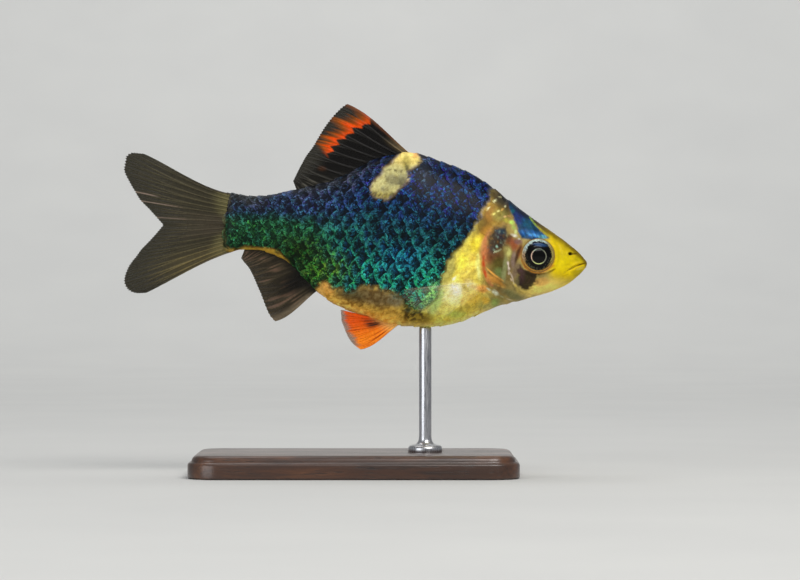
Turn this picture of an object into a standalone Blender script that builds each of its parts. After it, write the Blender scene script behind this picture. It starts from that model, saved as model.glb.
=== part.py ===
"""A life-size tiger barb, held over a small display base by one rod.

The fish is modelled in a frame of its own, in metres: X runs forward along the axis of the
body from the tail base to the snout, Y to the fish's left and Z up. An empty then tips the
fish nose down and lifts it over the base, whose underside is at Z = 0.
"""

import math

import bmesh
import bpy
import numpy as np
from mathutils import Matrix, Vector

MM = 0.001

# Driving dimensions of the fish
STANDARD_LENGTH = 46.5 * MM
GAP = 0.3 * MM
WELD = 0.002 * MM
SMOOTH_BELOW = math.radians(35)
NOSE_DOWN = math.radians(6.67)

# The body from snout to tail base. Each row holds, in millimetres, the distance behind the
# snout, the heights of the back and of the belly over the axis, and the half width, and then
# how pinched the section is at the back and at the belly, where 1 is an ellipse.
BODY = np.array(
    [
        (0.0, 0.10, 0.00, 0.05, 0.90, 0.90),
        (0.25, 0.50, -0.62, 0.72, 0.90, 0.90),
        (1.0, 1.22, -1.62, 1.30, 0.90, 0.95),
        (2.2, 2.06, -2.80, 1.85, 0.88, 1.00),
        (4.0, 3.13, -3.90, 2.50, 0.85, 1.05),
        (6.5, 4.47, -4.99, 3.15, 0.82, 1.05),
        (9.5, 6.16, -6.23, 3.80, 0.88, 1.00),
        (12.5, 8.11, -7.74, 4.30, 1.00, 0.98),
        (16.0, 9.94, -9.61, 4.70, 1.12, 0.95),
        (20.0, 11.05, -10.51, 4.85, 1.18, 0.92),
        (24.0, 11.80, -10.70, 4.60, 1.18, 0.92),
        (28.0, 10.75, -10.01, 4.00, 1.12, 0.95),
        (32.0, 8.15, -8.76, 3.30, 1.08, 1.00),
        (34.0, 7.00, -7.62, 2.98, 1.05, 1.00),
        (36.5, 5.98, -5.65, 2.55, 1.00, 1.00),
        (39.0, 5.12, -3.95, 2.15, 1.00, 1.00),
        (42.0, 4.12, -3.20, 1.75, 1.00, 1.00),
        (44.5, 3.82, -3.45, 1.45, 1.00, 1.00),
        (46.5, 3.97, -4.02, 1.10, 1.00, 1.00),
    ]
)
WIDEST_BELOW_MIDDLE = 0.06
SLOPE_STEP = 0.05 * MM
SEARCH_STEP = 0.02 * MM
SNOUT_LENGTH, SNOUT_RINGS = 0.35 * MM, 5
RING_SPACE = 0.4 * MM
HEAD_LENGTH = 14.0 * MM
HEAD_RINGS = 14
TRUNK_RINGS = 26
SIDE_POINTS = 18

# Where the head and the tail stem part from the trunk, seen from the side, top to bottom
GILL_LINE = [(35.3, 9.6), (35.0, 7.5), (34.7, 5.6), (34.5, 3.9), (33.3, 1.6), (32.75, -0.75),
             (33.1, -3.3), (34.2, -4.8), (36.2, -5.7), (38.3, -6.6)]
STEM_LINE = [(7.6, 8.0), (5.0, 0.0), (2.3, -6.0)]
SEAM_POINTS = 22
CUT_REACH = 70 * MM
CUT_HALF_WIDTH = 12 * MM

# Gill covers, as plates let into the head
COVER_FRONT = [(36.15, 3.6), (36.6, 2.7), (36.2, 1.2), (36.0, -0.6), (36.25, -2.4), (36.95, -4.0),
               (36.9, -4.7)]
COVER_REAR = [(35.4, 3.95), (34.6, 3.2), (33.7, 1.6), (33.12, -0.75), (33.45, -3.0), (34.5, -4.3),
              (35.8, -5.0)]
COVER_PROUD = 0.22 * MM
COVER_DEPTH = 0.65 * MM
COVER_COLUMNS, COVER_ROWS = 6, 12
SEAT_END_ROOM = 1.2
CHEEK_RIDGE = [(37.3, 3.3), (36.75, 1.3), (36.6, -0.6), (36.9, -2.6), (37.8, -4.3), (39.6, -4.55)]
CHEEK_RIDGE_RADIUS = 0.26 * MM
CHEEK_RIDGE_POINTS = 10

# Eyes
EYE_X, EYE_Z = 40.0 * MM, 0.41 * MM
EYE_RADIUS = 2.08 * MM
EYE_CENTRE_Y = 2.30 * MM
EYE_FRONT, EYE_BACK = 1.28 * MM, 1.15 * MM
PUPIL_RADIUS = 0.95 * MM
PUPIL_PROUD = 0.12 * MM
PUPIL_STEPS = (0.0, 0.55, 0.9, 1.0)
EYE_TURN_FORWARD = math.radians(7)
EYE_TURN_DOWN = math.radians(3)
EYE_SEGMENTS = 22
ORBIT_RING_RADIUS = 2.62 * MM
ORBIT_TUBE = 0.24 * MM
ORBIT_POINTS = 22

# Mouth and nostrils
MOUTH_TIP = (46.2 * MM, 0.05 * MM)
MOUTH_CORNER = (44.1 * MM, -1.12 * MM)
LIP_RADIUS = 0.28 * MM
LIP_SPACING = 0.30 * MM
LIP_SUNK = 0.1 * MM
MOUTH_SLIT = 0.22 * MM
MOUTH_DEPTH = 0.9 * MM
MOUTH_REACH = 0.5 * MM
MOUTH_POINTS = 17
SNOUT_FRONT_SHARE = 0.35
NOSTRILS = [(44.35 * MM, 1.10 * MM, 0.24 * MM), (43.65 * MM, 1.30 * MM, 0.30 * MM)]
NOSTRIL_RIM = 0.12 * MM
NOSTRIL_POINTS = 10
NOSTRIL_PIT_SHARE = 0.75
NOSTRIL_PIT_LIFT = 0.05 * MM

# Raised beads, such as lips: the sides of a bead, and how thin its free ends are
BEAD_RESOLUTION = 2
BEAD_END = 0.35

# Fins. A ray is a ridge on a thin sheet, and the numbers are counts of rays.
FIN_THICKNESS = 0.50 * MM
FIN_EDGE = 0.30 * MM
ROOT_FLARE = 0.07
RAY_RIDGE = 0.30 * MM
RAY_WIDTH = 0.27
RAY_RISE = 0.12
RAY_FADE = 0.55
EDGE_NOTCH = 0.035
DORSAL_RAYS, ANAL_RAYS, TAIL_LOBE_RAYS, PELVIC_RAYS, PECTORAL_RAYS = 12, 9, 10, 9, 9
ROOTS_FORWARD = 1.4
BULGE_LINE = (0.33, 0.95)
MEDIAN_ROOT_THICKNESS = 0.95 * MM
DORSAL_BASE = (22.4, 8.4)
DORSAL_EDGE = [(13.4, 16.95), (12.6, 16.5), (11.3, 14.6), (9.9, 11.6), (8.4, 8.5), (7.7, 6.3)]
DORSAL_BULGE = 0.5 * MM
DORSAL_LEAN = 0.35 * MM
ANAL_BASE = (12.4, 2.7)
ANAL_EDGE = [(7.4, -11.95), (6.6, -11.2), (5.0, -8.3), (3.6, -5.9), (2.2, -4.4)]
ANAL_BULGE = 0.45 * MM
ANAL_LEAN = -0.3 * MM
UPPER_TAIL_EDGE = [(-12.4, 7.72), (-14.0, 7.35), (-14.45, 6.1), (-13.8, 4.4), (-12.1, 2.1),
                   (-9.8, -0.1), (-7.5, -1.15)]
LOWER_TAIL_EDGE = [(-10.0, -10.6), (-12.0, -10.3), (-12.9, -9.1), (-12.6, -7.6), (-11.2, -5.3),
                   (-9.3, -3.0), (-7.4, -1.55)]
UPPER_TAIL_ROOT = (3.85, -0.05)
LOWER_TAIL_ROOT = (-3.95, -0.45)
TAIL_ROOT_THICKNESS = 1.5 * MM
TAIL_SWAY = 0.9 * MM
TAIL_TWIST = 0.5
PELVIC_BASE = (22.9, 21.1)
PELVIC_OFFSET = 1.0 * MM
PELVIC_DROP = 0.38 * MM
PELVIC_EDGE = [(18.75, -14.2), (17.7, -13.6), (16.7, -12.3), (15.9, -10.9), (15.4, -9.75)]
PELVIC_BULGE = 0.45 * MM
PELVIC_SPLAY = 1.3 * MM
PELVIC_TWIST = 0.35
PELVIC_ROOT_THICKNESS = 0.8 * MM
PECTORAL_ROOT = [(32.7, -3.9), (33.0, -5.1)]
PECTORAL_EDGE = [(23.6, -5.3), (23.5, -6.0), (24.6, -7.0), (26.8, -7.6), (29.0, -7.5)]
PECTORAL_SPREAD = 1.9 * MM
PECTORAL_FLARE = 1.3
PECTORAL_STANDOFF = 0.68 * MM
PECTORAL_RIDGE = 0.21 * MM

# The display stand
BASE_LENGTH, BASE_WIDTH, BASE_HEIGHT = 42 * MM, 24 * MM, 3 * MM
BASE_CORNER = 4 * MM
BASE_EDGE = 0.5 * MM
ROD_RADIUS = 0.8 * MM
FOOT_RADIUS, FOOT_HEIGHT = 2.2 * MM, 0.8 * MM
FOOT_EDGE_SHARE, FOOT_TOP_SHARE = 0.6, 0.8
ROD_SEGMENTS = 20
ROD_X = 9.1 * MM
FISH_LOCATION = (-16.27 * MM, 0.0, 32.5 * MM)

COLOURS = {
    "skin": ((0.03, 0.16, 0.17), 0.35, 0.3),
    "gill": ((0.62, 0.50, 0.24), 0.30, 0.3),
    "fin": ((0.20, 0.19, 0.14), 0.45, 0.0),
    "red_fin": ((0.90, 0.24, 0.03), 0.45, 0.0),
    "clear_fin": ((0.75, 0.74, 0.62), 0.40, 0.0),
    "eye": ((0.02, 0.02, 0.02), 0.10, 0.0),
    "wood": ((0.05, 0.03, 0.02), 0.40, 0.0),
    "steel": ((0.70, 0.70, 0.72), 0.25, 1.0),
}


def clear_scene():
    for obj in list(bpy.data.objects):
        bpy.data.objects.remove(obj, do_unlink=True)


def make_materials():
    for name, (colour, roughness, metallic) in COLOURS.items():
        material = bpy.data.materials.new(name)
        material.use_nodes = True
        shader = material.node_tree.nodes["Principled BSDF"]
        shader.inputs["Base Color"].default_value = (*colour, 1.0)
        shader.inputs["Roughness"].default_value = roughness
        shader.inputs["Metallic"].default_value = metallic


def smooth_through(places, values, at):
    """A cubic through the points that never overshoots between them."""
    places = np.asarray(places, float)
    values = np.asarray(values, float)
    steps = np.diff(places)
    slopes = np.diff(values) / steps
    tangents = np.zeros(len(places))
    tangents[0] = slopes[0]
    tangents[-1] = slopes[-1]
    for i in range(1, len(places) - 1):
        if slopes[i - 1] * slopes[i] > 0:
            tangents[i] = 2 * slopes[i - 1] * slopes[i] / (slopes[i - 1] + slopes[i])
    i = int(np.clip(np.searchsorted(places, at) - 1, 0, len(steps) - 1))
    t = (at - places[i]) / steps[i]
    return (
        values[i] * (1 + 2 * t) * (1 - t) ** 2
        + values[i + 1] * t * t * (3 - 2 * t)
        + tangents[i] * steps[i] * t * (1 - t) ** 2
        - tangents[i + 1] * steps[i] * t * t * (1 - t)
    )


def along(points_mm, share):
    """The place at a share of the way along a smooth line through points given in millimetres."""
    points = np.array(points_mm, float) * MM
    lengths = np.linalg.norm(np.diff(points, axis=0), axis=1)
    places = np.concatenate([[0.0], np.cumsum(lengths)]) / lengths.sum()
    return tuple(smooth_through(places, column, share) for column in points.T)


def girth(x):
    """Back, belly, half width, widest height and the two pinches of the section at x."""
    behind = max(0.0, STANDARD_LENGTH - x)
    at = math.sqrt(behind / MM)
    places = np.sqrt(BODY[:, 0])
    back, belly, half_width = (smooth_through(places, BODY[:, i], at) * MM for i in (1, 2, 3))
    back_pinch, belly_pinch = (smooth_through(places, BODY[:, i], at) for i in (4, 5))
    widest = (back + belly) / 2 - WIDEST_BELOW_MIDDLE * (back - belly)
    return back, belly, half_width, widest, back_pinch, belly_pinch


def half_section(x, count):
    """Points evenly spaced round the left half of the section at x, from back to belly."""
    back, belly, half_width, widest, back_pinch, belly_pinch = girth(x)
    angles = np.linspace(0, math.pi, 241)
    upper = angles < math.pi / 2
    height = np.where(upper, back - widest, widest - belly)
    pinch = np.where(upper, back_pinch, belly_pinch)
    z = widest + height * np.cos(angles)
    y = half_width * np.abs(np.sin(angles)) ** pinch
    y[0] = 0.0
    y[-1] = 0.0
    steps = np.hypot(np.diff(y), np.diff(z))
    lengths = np.concatenate([[0.0], np.cumsum(steps)])
    wanted = np.linspace(0, lengths[-1], count + 1)
    return [(x, np.interp(w, lengths, y), np.interp(w, lengths, z)) for w in wanted]


def half_width_at(x, z):
    """How far the skin stands out sideways at a place seen from the side."""
    back, belly, half_width, widest, back_pinch, belly_pinch = girth(x)
    if z > widest:
        share, pinch = (z - widest) / (back - widest), back_pinch
    else:
        share, pinch = (widest - z) / (widest - belly), belly_pinch
    share = min(share, 0.9999)
    return half_width * math.sqrt(1 - share * share) ** pinch


def on_skin(x, z, off=0.0, side=1):
    """The place on the skin at x and z, moved out by off, on the left (1) or right (-1) side."""
    step = SLOPE_STEP
    y = half_width_at(x, z)
    slope_x = (half_width_at(x + step, z) - half_width_at(x - step, z)) / (2 * step)
    slope_z = (half_width_at(x, z + step) - half_width_at(x, z - step)) / (2 * step)
    normal = Vector((-slope_x, 1.0, -slope_z)).normalized()
    place = Vector((x, y, z)) + normal * off
    place.y *= side
    return place


def on_outline(x, off, lower=False):
    """The place on the line of the back, or of the belly, moved out by off."""
    step = SLOPE_STEP
    column = 1 if lower else 0
    z = girth(x)[column]
    slope = (girth(x + step)[column] - girth(x - step)[column]) / (2 * step)
    away = Vector((slope, 0.0, -1.0)) if lower else Vector((-slope, 0.0, 1.0))
    return Vector((x, 0.0, z)) + away.normalized() * off


def add_object(name, bm, material, collection):
    bmesh.ops.recalc_face_normals(bm, faces=bm.faces)
    mesh = bpy.data.meshes.new(name)
    bm.to_mesh(mesh)
    bm.free()
    if material:
        mesh.materials.append(bpy.data.materials[material])
    obj = bpy.data.objects.new(name, mesh)
    collection.objects.link(obj)
    return obj


def body_loft(name, collection, grow=0.0):
    """The whole body from snout to tail base as one closed loft, moved out by grow."""
    shares = [i / SNOUT_RINGS for i in range(1, SNOUT_RINGS + 1)]
    snout = [STANDARD_LENGTH - SNOUT_LENGTH * share ** 2 for share in shares]
    head = np.linspace(snout[-1] - RING_SPACE, STANDARD_LENGTH - HEAD_LENGTH, HEAD_RINGS)
    trunk = np.linspace(STANDARD_LENGTH - HEAD_LENGTH, 0.0, TRUNK_RINGS + 1)[1:]
    bm = bmesh.new()
    rings = []
    for x in [*snout, *head, *trunk]:
        left = half_section(x, SIDE_POINTS)
        right = [(px, -py, pz) for px, py, pz in left[-2:0:-1]]
        rings.append([bm.verts.new(p) for p in left + right])
    tip = bm.verts.new((STANDARD_LENGTH, 0.0, girth(STANDARD_LENGTH)[0]))
    count = len(rings[0])
    for i in range(count):
        j = (i + 1) % count
        bm.faces.new((tip, rings[0][i], rings[0][j]))
        for near, far in zip(rings, rings[1:]):
            bm.faces.new((near[i], near[j], far[j], far[i]))
    bm.faces.new(rings[-1])
    if grow:
        bmesh.ops.recalc_face_normals(bm, faces=bm.faces)
        bm.normal_update()
        for vert in bm.verts:
            vert.co += vert.normal * grow
    return add_object(name, bm, "skin", collection)


def sheet_solid(name, material, collection, middle, thickness, columns, rows):
    """A closed thin solid round a curved middle surface.

    middle(u, v) gives a place of the surface and thickness(u, v) how thick it is there. Both
    faces are split into triangles alike.
    """
    places = [[middle(u, v) for v in rows] for u in columns]
    last_i, last_j = len(columns) - 1, len(rows) - 1
    bm = bmesh.new()
    front, back = [], []
    for i, u in enumerate(columns):
        front.append([])
        back.append([])
        for j, v in enumerate(rows):
            across = places[min(i + 1, last_i)][j] - places[max(i - 1, 0)][j]
            outward = places[i][min(j + 1, last_j)] - places[i][max(j - 1, 0)]
            half = across.cross(outward).normalized() * (thickness(u, v) / 2)
            front[i].append(bm.verts.new(places[i][j] + half))
            back[i].append(bm.verts.new(places[i][j] - half))
    for i in range(last_i):
        for j in range(last_j):
            for face in (front, back):
                a, b = face[i][j], face[i + 1][j]
                c, d = face[i + 1][j + 1], face[i][j + 1]
                bm.faces.new((a, b, c))
                bm.faces.new((a, c, d))
    rim = [(i, 0) for i in range(last_i)] + [(last_i, j) for j in range(last_j)]
    rim += [(i, last_j) for i in range(last_i, 0, -1)] + [(0, j) for j in range(last_j, 0, -1)]
    for (i, j), (k, m) in zip(rim, rim[1:] + rim[:1]):
        bm.faces.new((front[i][j], front[k][m], back[k][m]))
        bm.faces.new((front[i][j], back[k][m], back[i][j]))
    return add_object(name, bm, material, collection)


def ray_columns(rays):
    """Where the columns of a fin's mesh lie: each ray's crest with a foot on either side."""
    last = rays - 1
    feet = [i + place for i in range(rays) for place in (-RAY_WIDTH, 0.0, RAY_WIDTH)]
    return [foot / last for foot in feet if 0 <= foot <= last]


def crest(u, rays):
    """1 on a ray's crest and 0 beyond its foot."""
    place = u * (rays - 1)
    return max(0.0, 1 - abs(place - round(place)) / RAY_WIDTH)


def ridge_share(v):
    """A ridge rises from nothing at the root, stands full and sinks towards the edge."""
    return min(1.0, v / RAY_RISE) * (1 - RAY_FADE * v)


def fin(name, material, collection, root, edge, rays, rows, bend=None, root_thickness=FIN_THICKNESS):
    """A fin whose rays run from root(u) to edge(u), with bend(u, v) added between them."""

    def middle(u, v):
        reach = v * (1 - EDGE_NOTCH * (1 - crest(u, rays)))
        place = root(u).lerp(edge(u), reach)
        return place + bend(u, reach) if bend else place

    def thickness(u, v):
        sheet = FIN_THICKNESS + (FIN_EDGE - FIN_THICKNESS) * v * v
        flare = (root_thickness - FIN_THICKNESS) * math.exp(-v / ROOT_FLARE)
        return sheet + flare + RAY_RIDGE * crest(u, rays) * ridge_share(v)

    return sheet_solid(name, material, collection, middle, thickness, ray_columns(rays), rows)


def bulge(v):
    """0 at either end of a ray and 1 at two thirds of its length."""
    return 6.75 * v * v * (1 - v)


def median_fin(name, collection, base, outer, rays, rows, swell, lean, lower):
    """A fin on the line of the back or of the belly, its rays rooted closest at the front."""

    def root(u):
        front, rear = base
        x = (front + (rear - front) * u ** ROOTS_FORWARD) * MM
        return on_outline(x, GAP, lower)

    def edge(u):
        x, z = along(outer, u)
        return Vector((x, lean * (1 - u), z))

    def bend(u, v):
        forward, outward = BULGE_LINE
        away = Vector((forward, 0.0, -outward if lower else outward))
        return away * (swell * (1 - u) ** 2 * bulge(v))

    thick = MEDIAN_ROOT_THICKNESS
    return fin(name, "fin", collection, root, edge, rays, rows, bend, thick)


def dorsal_fin(collection):
    shape = (DORSAL_BASE, DORSAL_EDGE, DORSAL_RAYS, np.linspace(0, 1, 9))
    return median_fin("dorsal_fin", collection, *shape, DORSAL_BULGE, DORSAL_LEAN, lower=False)


def anal_fin(collection):
    shape = (ANAL_BASE, ANAL_EDGE, ANAL_RAYS, np.linspace(0, 1, 8))
    return median_fin("anal_fin", collection, *shape, ANAL_BULGE, ANAL_LEAN, lower=True)


def tail_lobe(name, collection, root_span, edge_points):
    def root(u):
        outer, inner = root_span
        return Vector((-GAP, 0.0, (outer + (inner - outer) * u) * MM))

    def edge(u):
        x, z = along(edge_points, u)
        return Vector((x, 0.0, z))

    def bend(u, v):
        return Vector((0.0, TAIL_SWAY * v * v * (1 - TAIL_TWIST * u), 0.0))

    rows = np.concatenate([[0.0, 0.07, 0.16], np.linspace(0.3, 1, 6)])
    return fin(name, "fin", collection, root, edge, TAIL_LOBE_RAYS, rows, bend, TAIL_ROOT_THICKNESS)


def pelvic_fin(name, collection, side):
    def root(u):
        front, rear = PELVIC_BASE
        x = (front + (rear - front) * u) * MM
        z = girth(x)[1]
        while half_width_at(x, z) < PELVIC_OFFSET - PELVIC_ROOT_THICKNESS / 2:
            z += SEARCH_STEP
        return Vector((x, side * PELVIC_OFFSET, z - PELVIC_DROP))

    def edge(u):
        x, z = along(PELVIC_EDGE, u)
        return Vector((x, side * (PELVIC_OFFSET + PELVIC_SPLAY * (1 - PELVIC_TWIST * u)), z))

    def bend(u, v):
        forward, outward = BULGE_LINE
        return Vector((forward, 0.0, -outward)) * (PELVIC_BULGE * (1 - u) ** 2 * bulge(v))

    rows = np.linspace(0, 1, 7)
    thick = PELVIC_ROOT_THICKNESS
    return fin(name, "red_fin", collection, root, edge, PELVIC_RAYS, rows, bend, thick)


def pectoral_fin(name, collection, side):
    """A clear fin swept back along the flank, standing off it more towards its tip."""

    def middle(u, v):
        root, edge = Vector(along(PECTORAL_ROOT, u)), Vector(along(PECTORAL_EDGE, u))
        place = root.lerp(edge, v * (1 - EDGE_NOTCH * (1 - crest(u, PECTORAL_RAYS))))
        off = PECTORAL_STANDOFF + PECTORAL_SPREAD * v ** PECTORAL_FLARE
        return on_skin(place.x, place.y, off, side)

    def thickness(u, v):
        sheet = FIN_THICKNESS + (FIN_EDGE - FIN_THICKNESS) * v
        return sheet + PECTORAL_RIDGE * crest(u, PECTORAL_RAYS) * ridge_share(v)

    columns = ray_columns(PECTORAL_RAYS)
    rows = np.linspace(0, 1, 8)
    return sheet_solid(name, "clear_fin", collection, middle, thickness, columns, rows)


def gill_cover(name, collection, side, grow=0.0):
    """A plate over the gills. Grown, it is the cutter of its own seat in the head."""
    proud = COVER_PROUD + (3 * GAP if grow else 0.0)
    depth = COVER_DEPTH + grow

    def middle(u, v):
        front, rear = Vector(along(COVER_FRONT, v)), Vector(along(COVER_REAR, v))
        front.x += grow
        rear.x -= grow
        place = front.lerp(rear, u)
        place.y += grow * SEAT_END_ROOM * (1 - 2 * v)
        return on_skin(place.x, place.y, (proud - depth) / 2, side)

    def thickness(u, v):
        return proud + depth

    columns = np.linspace(0, 1, COVER_COLUMNS)
    rows = np.linspace(0, 1, COVER_ROWS)
    return sheet_solid(name, "gill", collection, middle, thickness, columns, rows)


def offset_line(points_mm, by):
    """A line seen from the side, resampled and moved ahead by a distance square to itself."""
    shares = np.linspace(0, 1, SEAM_POINTS)
    points = [Vector(along(points_mm, s)) for s in shares]
    moved = []
    for i, point in enumerate(points):
        run = points[min(i + 1, len(points) - 1)] - points[max(i - 1, 0)]
        ahead = Vector((-run.y, run.x)).normalized()
        moved.append(point + ahead * by)
    return moved


def side_cutter(name, line, ahead, collection):
    """A block with its outline seen from the side: all that is ahead of, or behind, a line."""
    reach = CUT_REACH if ahead else -CUT_REACH
    outline = [Vector((line[0].x, CUT_REACH)), *line, Vector((line[-1].x, -CUT_REACH))]
    outline += [Vector((reach, -CUT_REACH)), Vector((reach, CUT_REACH))]
    bm = bmesh.new()
    face = bm.faces.new([bm.verts.new((p.x, -CUT_HALF_WIDTH, p.y)) for p in outline])
    grown = bmesh.ops.extrude_face_region(bm, geom=[face])
    new_verts = [g for g in grown["geom"] if isinstance(g, bmesh.types.BMVert)]
    bmesh.ops.translate(bm, verts=new_verts, vec=(0, 2 * CUT_HALF_WIDTH, 0))
    return add_object(name, bm, None, collection)


def skin_tube(name, places, radius, collection, closed=False):
    """A round bead along a line of places, as a closed mesh. An open one thins to its ends."""
    curve = bpy.data.curves.new(name, "CURVE")
    curve.dimensions = "3D"
    curve.bevel_depth = radius
    curve.bevel_resolution = BEAD_RESOLUTION
    curve.use_fill_caps = True
    spline = curve.splines.new("POLY")
    spline.points.add(len(places) - 1)
    for i, (point, place) in enumerate(zip(spline.points, places)):
        point.co = (*place, 1.0)
        if not closed:
            share = i / (len(places) - 1)
            point.radius = BEAD_END + (1 - BEAD_END) * math.sqrt(math.sin(math.pi * share))
    spline.use_cyclic_u = closed
    guide = bpy.data.objects.new(name + "_line", curve)
    collection.objects.link(guide)
    bpy.context.view_layer.update()
    graph = bpy.context.evaluated_depsgraph_get()
    mesh = bpy.data.meshes.new_from_object(guide.evaluated_get(graph))
    bpy.data.objects.remove(guide, do_unlink=True)
    bm = bmesh.new()
    bm.from_mesh(mesh)
    bpy.data.meshes.remove(mesh)
    bmesh.ops.remove_doubles(bm, verts=bm.verts, dist=WELD)
    return add_object(name, bm, None, collection)


def carve(target, helpers, operation):
    """Joins a collection of closed meshes to the target, or cuts them from it, and removes them."""
    modifier = target.modifiers.new("carve", "BOOLEAN")
    modifier.operation = operation
    modifier.solver = "EXACT"
    modifier.operand_type = "COLLECTION"
    modifier.collection = helpers
    bpy.context.view_layer.update()
    graph = bpy.context.evaluated_depsgraph_get()
    mesh = bpy.data.meshes.new_from_object(target.evaluated_get(graph))
    target.modifiers.clear()
    target.data = mesh
    for helper in list(helpers.objects):
        bpy.data.objects.remove(helper, do_unlink=True)
    keep_largest(target)


def keep_largest(obj):
    """Drops every closed surface of a mesh but the largest."""
    bm = bmesh.new()
    bm.from_mesh(obj.data)
    left = set(bm.verts)
    shells = []
    while left:
        shell, todo = set(), [left.pop()]
        while todo:
            vert = todo.pop()
            shell.add(vert)
            for edge in vert.link_edges:
                other = edge.other_vert(vert)
                if other in left:
                    left.discard(other)
                    todo.append(other)
        shells.append(shell)
    shells.sort(key=len)
    loose = [v for shell in shells[:-1] for v in shell]
    bmesh.ops.delete(bm, geom=loose, context="VERTS")
    bm.to_mesh(obj.data)
    bm.free()


def mouth_line(lift, off):
    """The gape from one corner round the snout to the other, raised by lift and moved out by off."""
    (tip_x, tip_z), (corner_x, corner_z) = MOUTH_TIP, MOUTH_CORNER
    places = []
    for t in np.linspace(-1, 1, MOUTH_POINTS):
        ahead = 1 - t * t
        x = corner_x + (tip_x - corner_x) * ahead
        z = corner_z + (tip_z - corner_z) * ahead + lift
        rounded = math.sin(math.pi / 2 * min(1, abs(t) / SNOUT_FRONT_SHARE))
        place = Vector((x, math.copysign(half_width_at(x, z) * rounded, t), z))
        away = Vector((1 - abs(t), t, 0.0)).normalized()
        places.append(place + away * off)
    return places


def eye_profile(grow):
    """Half of the eyeball's section, as distance from its axis and depth along it."""
    radius, front, rear = EYE_RADIUS + grow, EYE_FRONT + 2 * grow, EYE_BACK + grow
    points = []
    if not grow:
        for share in PUPIL_STEPS:
            angle = math.asin(PUPIL_RADIUS * share / radius)
            raised = PUPIL_PROUD * (1 if share < 1 else 0)
            points.append((radius * math.sin(angle), front * math.cos(angle) + raised))
    start = math.asin(PUPIL_RADIUS / radius) if not grow else 0.0
    for share in np.linspace(0, 1, 6)[(0 if grow else 1):]:
        angle = start + (math.pi / 2 - start) * share
        points.append((radius * math.sin(angle), front * math.cos(angle)))
    for share in (1 / 3, 2 / 3, 1.0):
        angle = math.pi / 2 * share
        points.append((radius * math.cos(angle), -rear * math.sin(angle)))
    return points


def turn(bm, segments):
    """Turns a profile round the Z axis into a closed surface."""
    bmesh.ops.spin(
        bm,
        geom=bm.verts[:] + bm.edges[:],
        cent=(0, 0, 0),
        axis=(0, 0, 1),
        angle=2 * math.pi,
        steps=segments,
        use_merge=True,
    )
    bmesh.ops.remove_doubles(bm, verts=bm.verts, dist=WELD)


def eyeball(name, collection, side, grow=0.0):
    bm = bmesh.new()
    verts = [bm.verts.new((radius, 0.0, depth)) for radius, depth in eye_profile(grow)]
    verts[0].co.x = 0.0
    verts[-1].co.x = 0.0
    for a, b in zip(verts, verts[1:]):
        bm.edges.new((a, b))
    turn(bm, EYE_SEGMENTS)
    outward = Matrix.Rotation(-side * (math.pi / 2 + EYE_TURN_DOWN), 4, "X")
    forward = Matrix.Rotation(-side * EYE_TURN_FORWARD, 4, "Z")
    place = Matrix.Translation((EYE_X, side * EYE_CENTRE_Y, EYE_Z))
    bmesh.ops.transform(bm, matrix=place @ forward @ outward, verts=bm.verts)
    return add_object(name, bm, "eye", collection)


def nostril_parts(pits, rims):
    for side in (1, -1):
        for number, (x, z, radius) in enumerate(NOSTRILS):
            ring = []
            for i in range(NOSTRIL_POINTS):
                angle = 2 * math.pi * i / NOSTRIL_POINTS
                ring.append(on_skin(x + radius * math.cos(angle), z + radius * math.sin(angle), 0, side))
            skin_tube(f"nostril_rim_{side}_{number}", ring, NOSTRIL_RIM, rims, closed=True)
            bm = bmesh.new()
            bmesh.ops.create_uvsphere(bm, u_segments=8, v_segments=6, radius=radius * NOSTRIL_PIT_SHARE)
            bmesh.ops.translate(bm, verts=bm.verts, vec=on_skin(x, z, NOSTRIL_PIT_LIFT, side))
            add_object(f"nostril_pit_{side}_{number}", bm, None, pits)


def head(parts, helpers):
    """The head with its lips, cheek ridges and rims raised, and mouth, nostrils, sockets and seats cut."""
    obj = body_loft("head", parts)
    side_cutter("behind_head", offset_line(GILL_LINE, GAP / 2), False, helpers)
    carve(obj, helpers, "DIFFERENCE")
    for name, lift in (("upper_lip", LIP_SPACING), ("lower_lip", -LIP_SPACING)):
        skin_tube(name, mouth_line(lift, -LIP_SUNK), LIP_RADIUS, helpers)
    for side in (1, -1):
        ridge = [on_skin(*along(CHEEK_RIDGE, s), 0.0, side) for s in np.linspace(0, 1, CHEEK_RIDGE_POINTS)]
        skin_tube(f"cheek_ridge_{side}", ridge, CHEEK_RIDGE_RADIUS, helpers)
        orbit = []
        for i in range(ORBIT_POINTS):
            angle = 2 * math.pi * i / ORBIT_POINTS
            x = EYE_X + ORBIT_RING_RADIUS * math.cos(angle)
            z = EYE_Z + ORBIT_RING_RADIUS * math.sin(angle)
            orbit.append(on_skin(x, z, 0.0, side))
        skin_tube(f"orbit_{side}", orbit, ORBIT_TUBE, helpers, closed=True)
    pits = bpy.data.collections.new("pits")
    bpy.context.scene.collection.children.link(pits)
    nostril_parts(pits, helpers)
    carve(obj, helpers, "UNION")
    outside, inside = mouth_line(0.0, MOUTH_REACH), mouth_line(0.0, -MOUTH_DEPTH)
    shares = np.linspace(0, 1, MOUTH_POINTS)

    def slit(u, v):
        i = int(round(u * (MOUTH_POINTS - 1)))
        return outside[i].lerp(inside[i], v)

    sheet_solid("mouth_slit", None, helpers, slit, lambda u, v: MOUTH_SLIT, shares, [0.0, 0.5, 1.0])
    for side in (1, -1):
        eyeball(f"socket_{side}", helpers, side, grow=GAP)
        gill_cover(f"seat_{side}", helpers, side, grow=GAP)
    for pit in list(pits.objects):
        pits.objects.unlink(pit)
        helpers.objects.link(pit)
    bpy.data.collections.remove(pits)
    carve(obj, helpers, "DIFFERENCE")
    return obj


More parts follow.
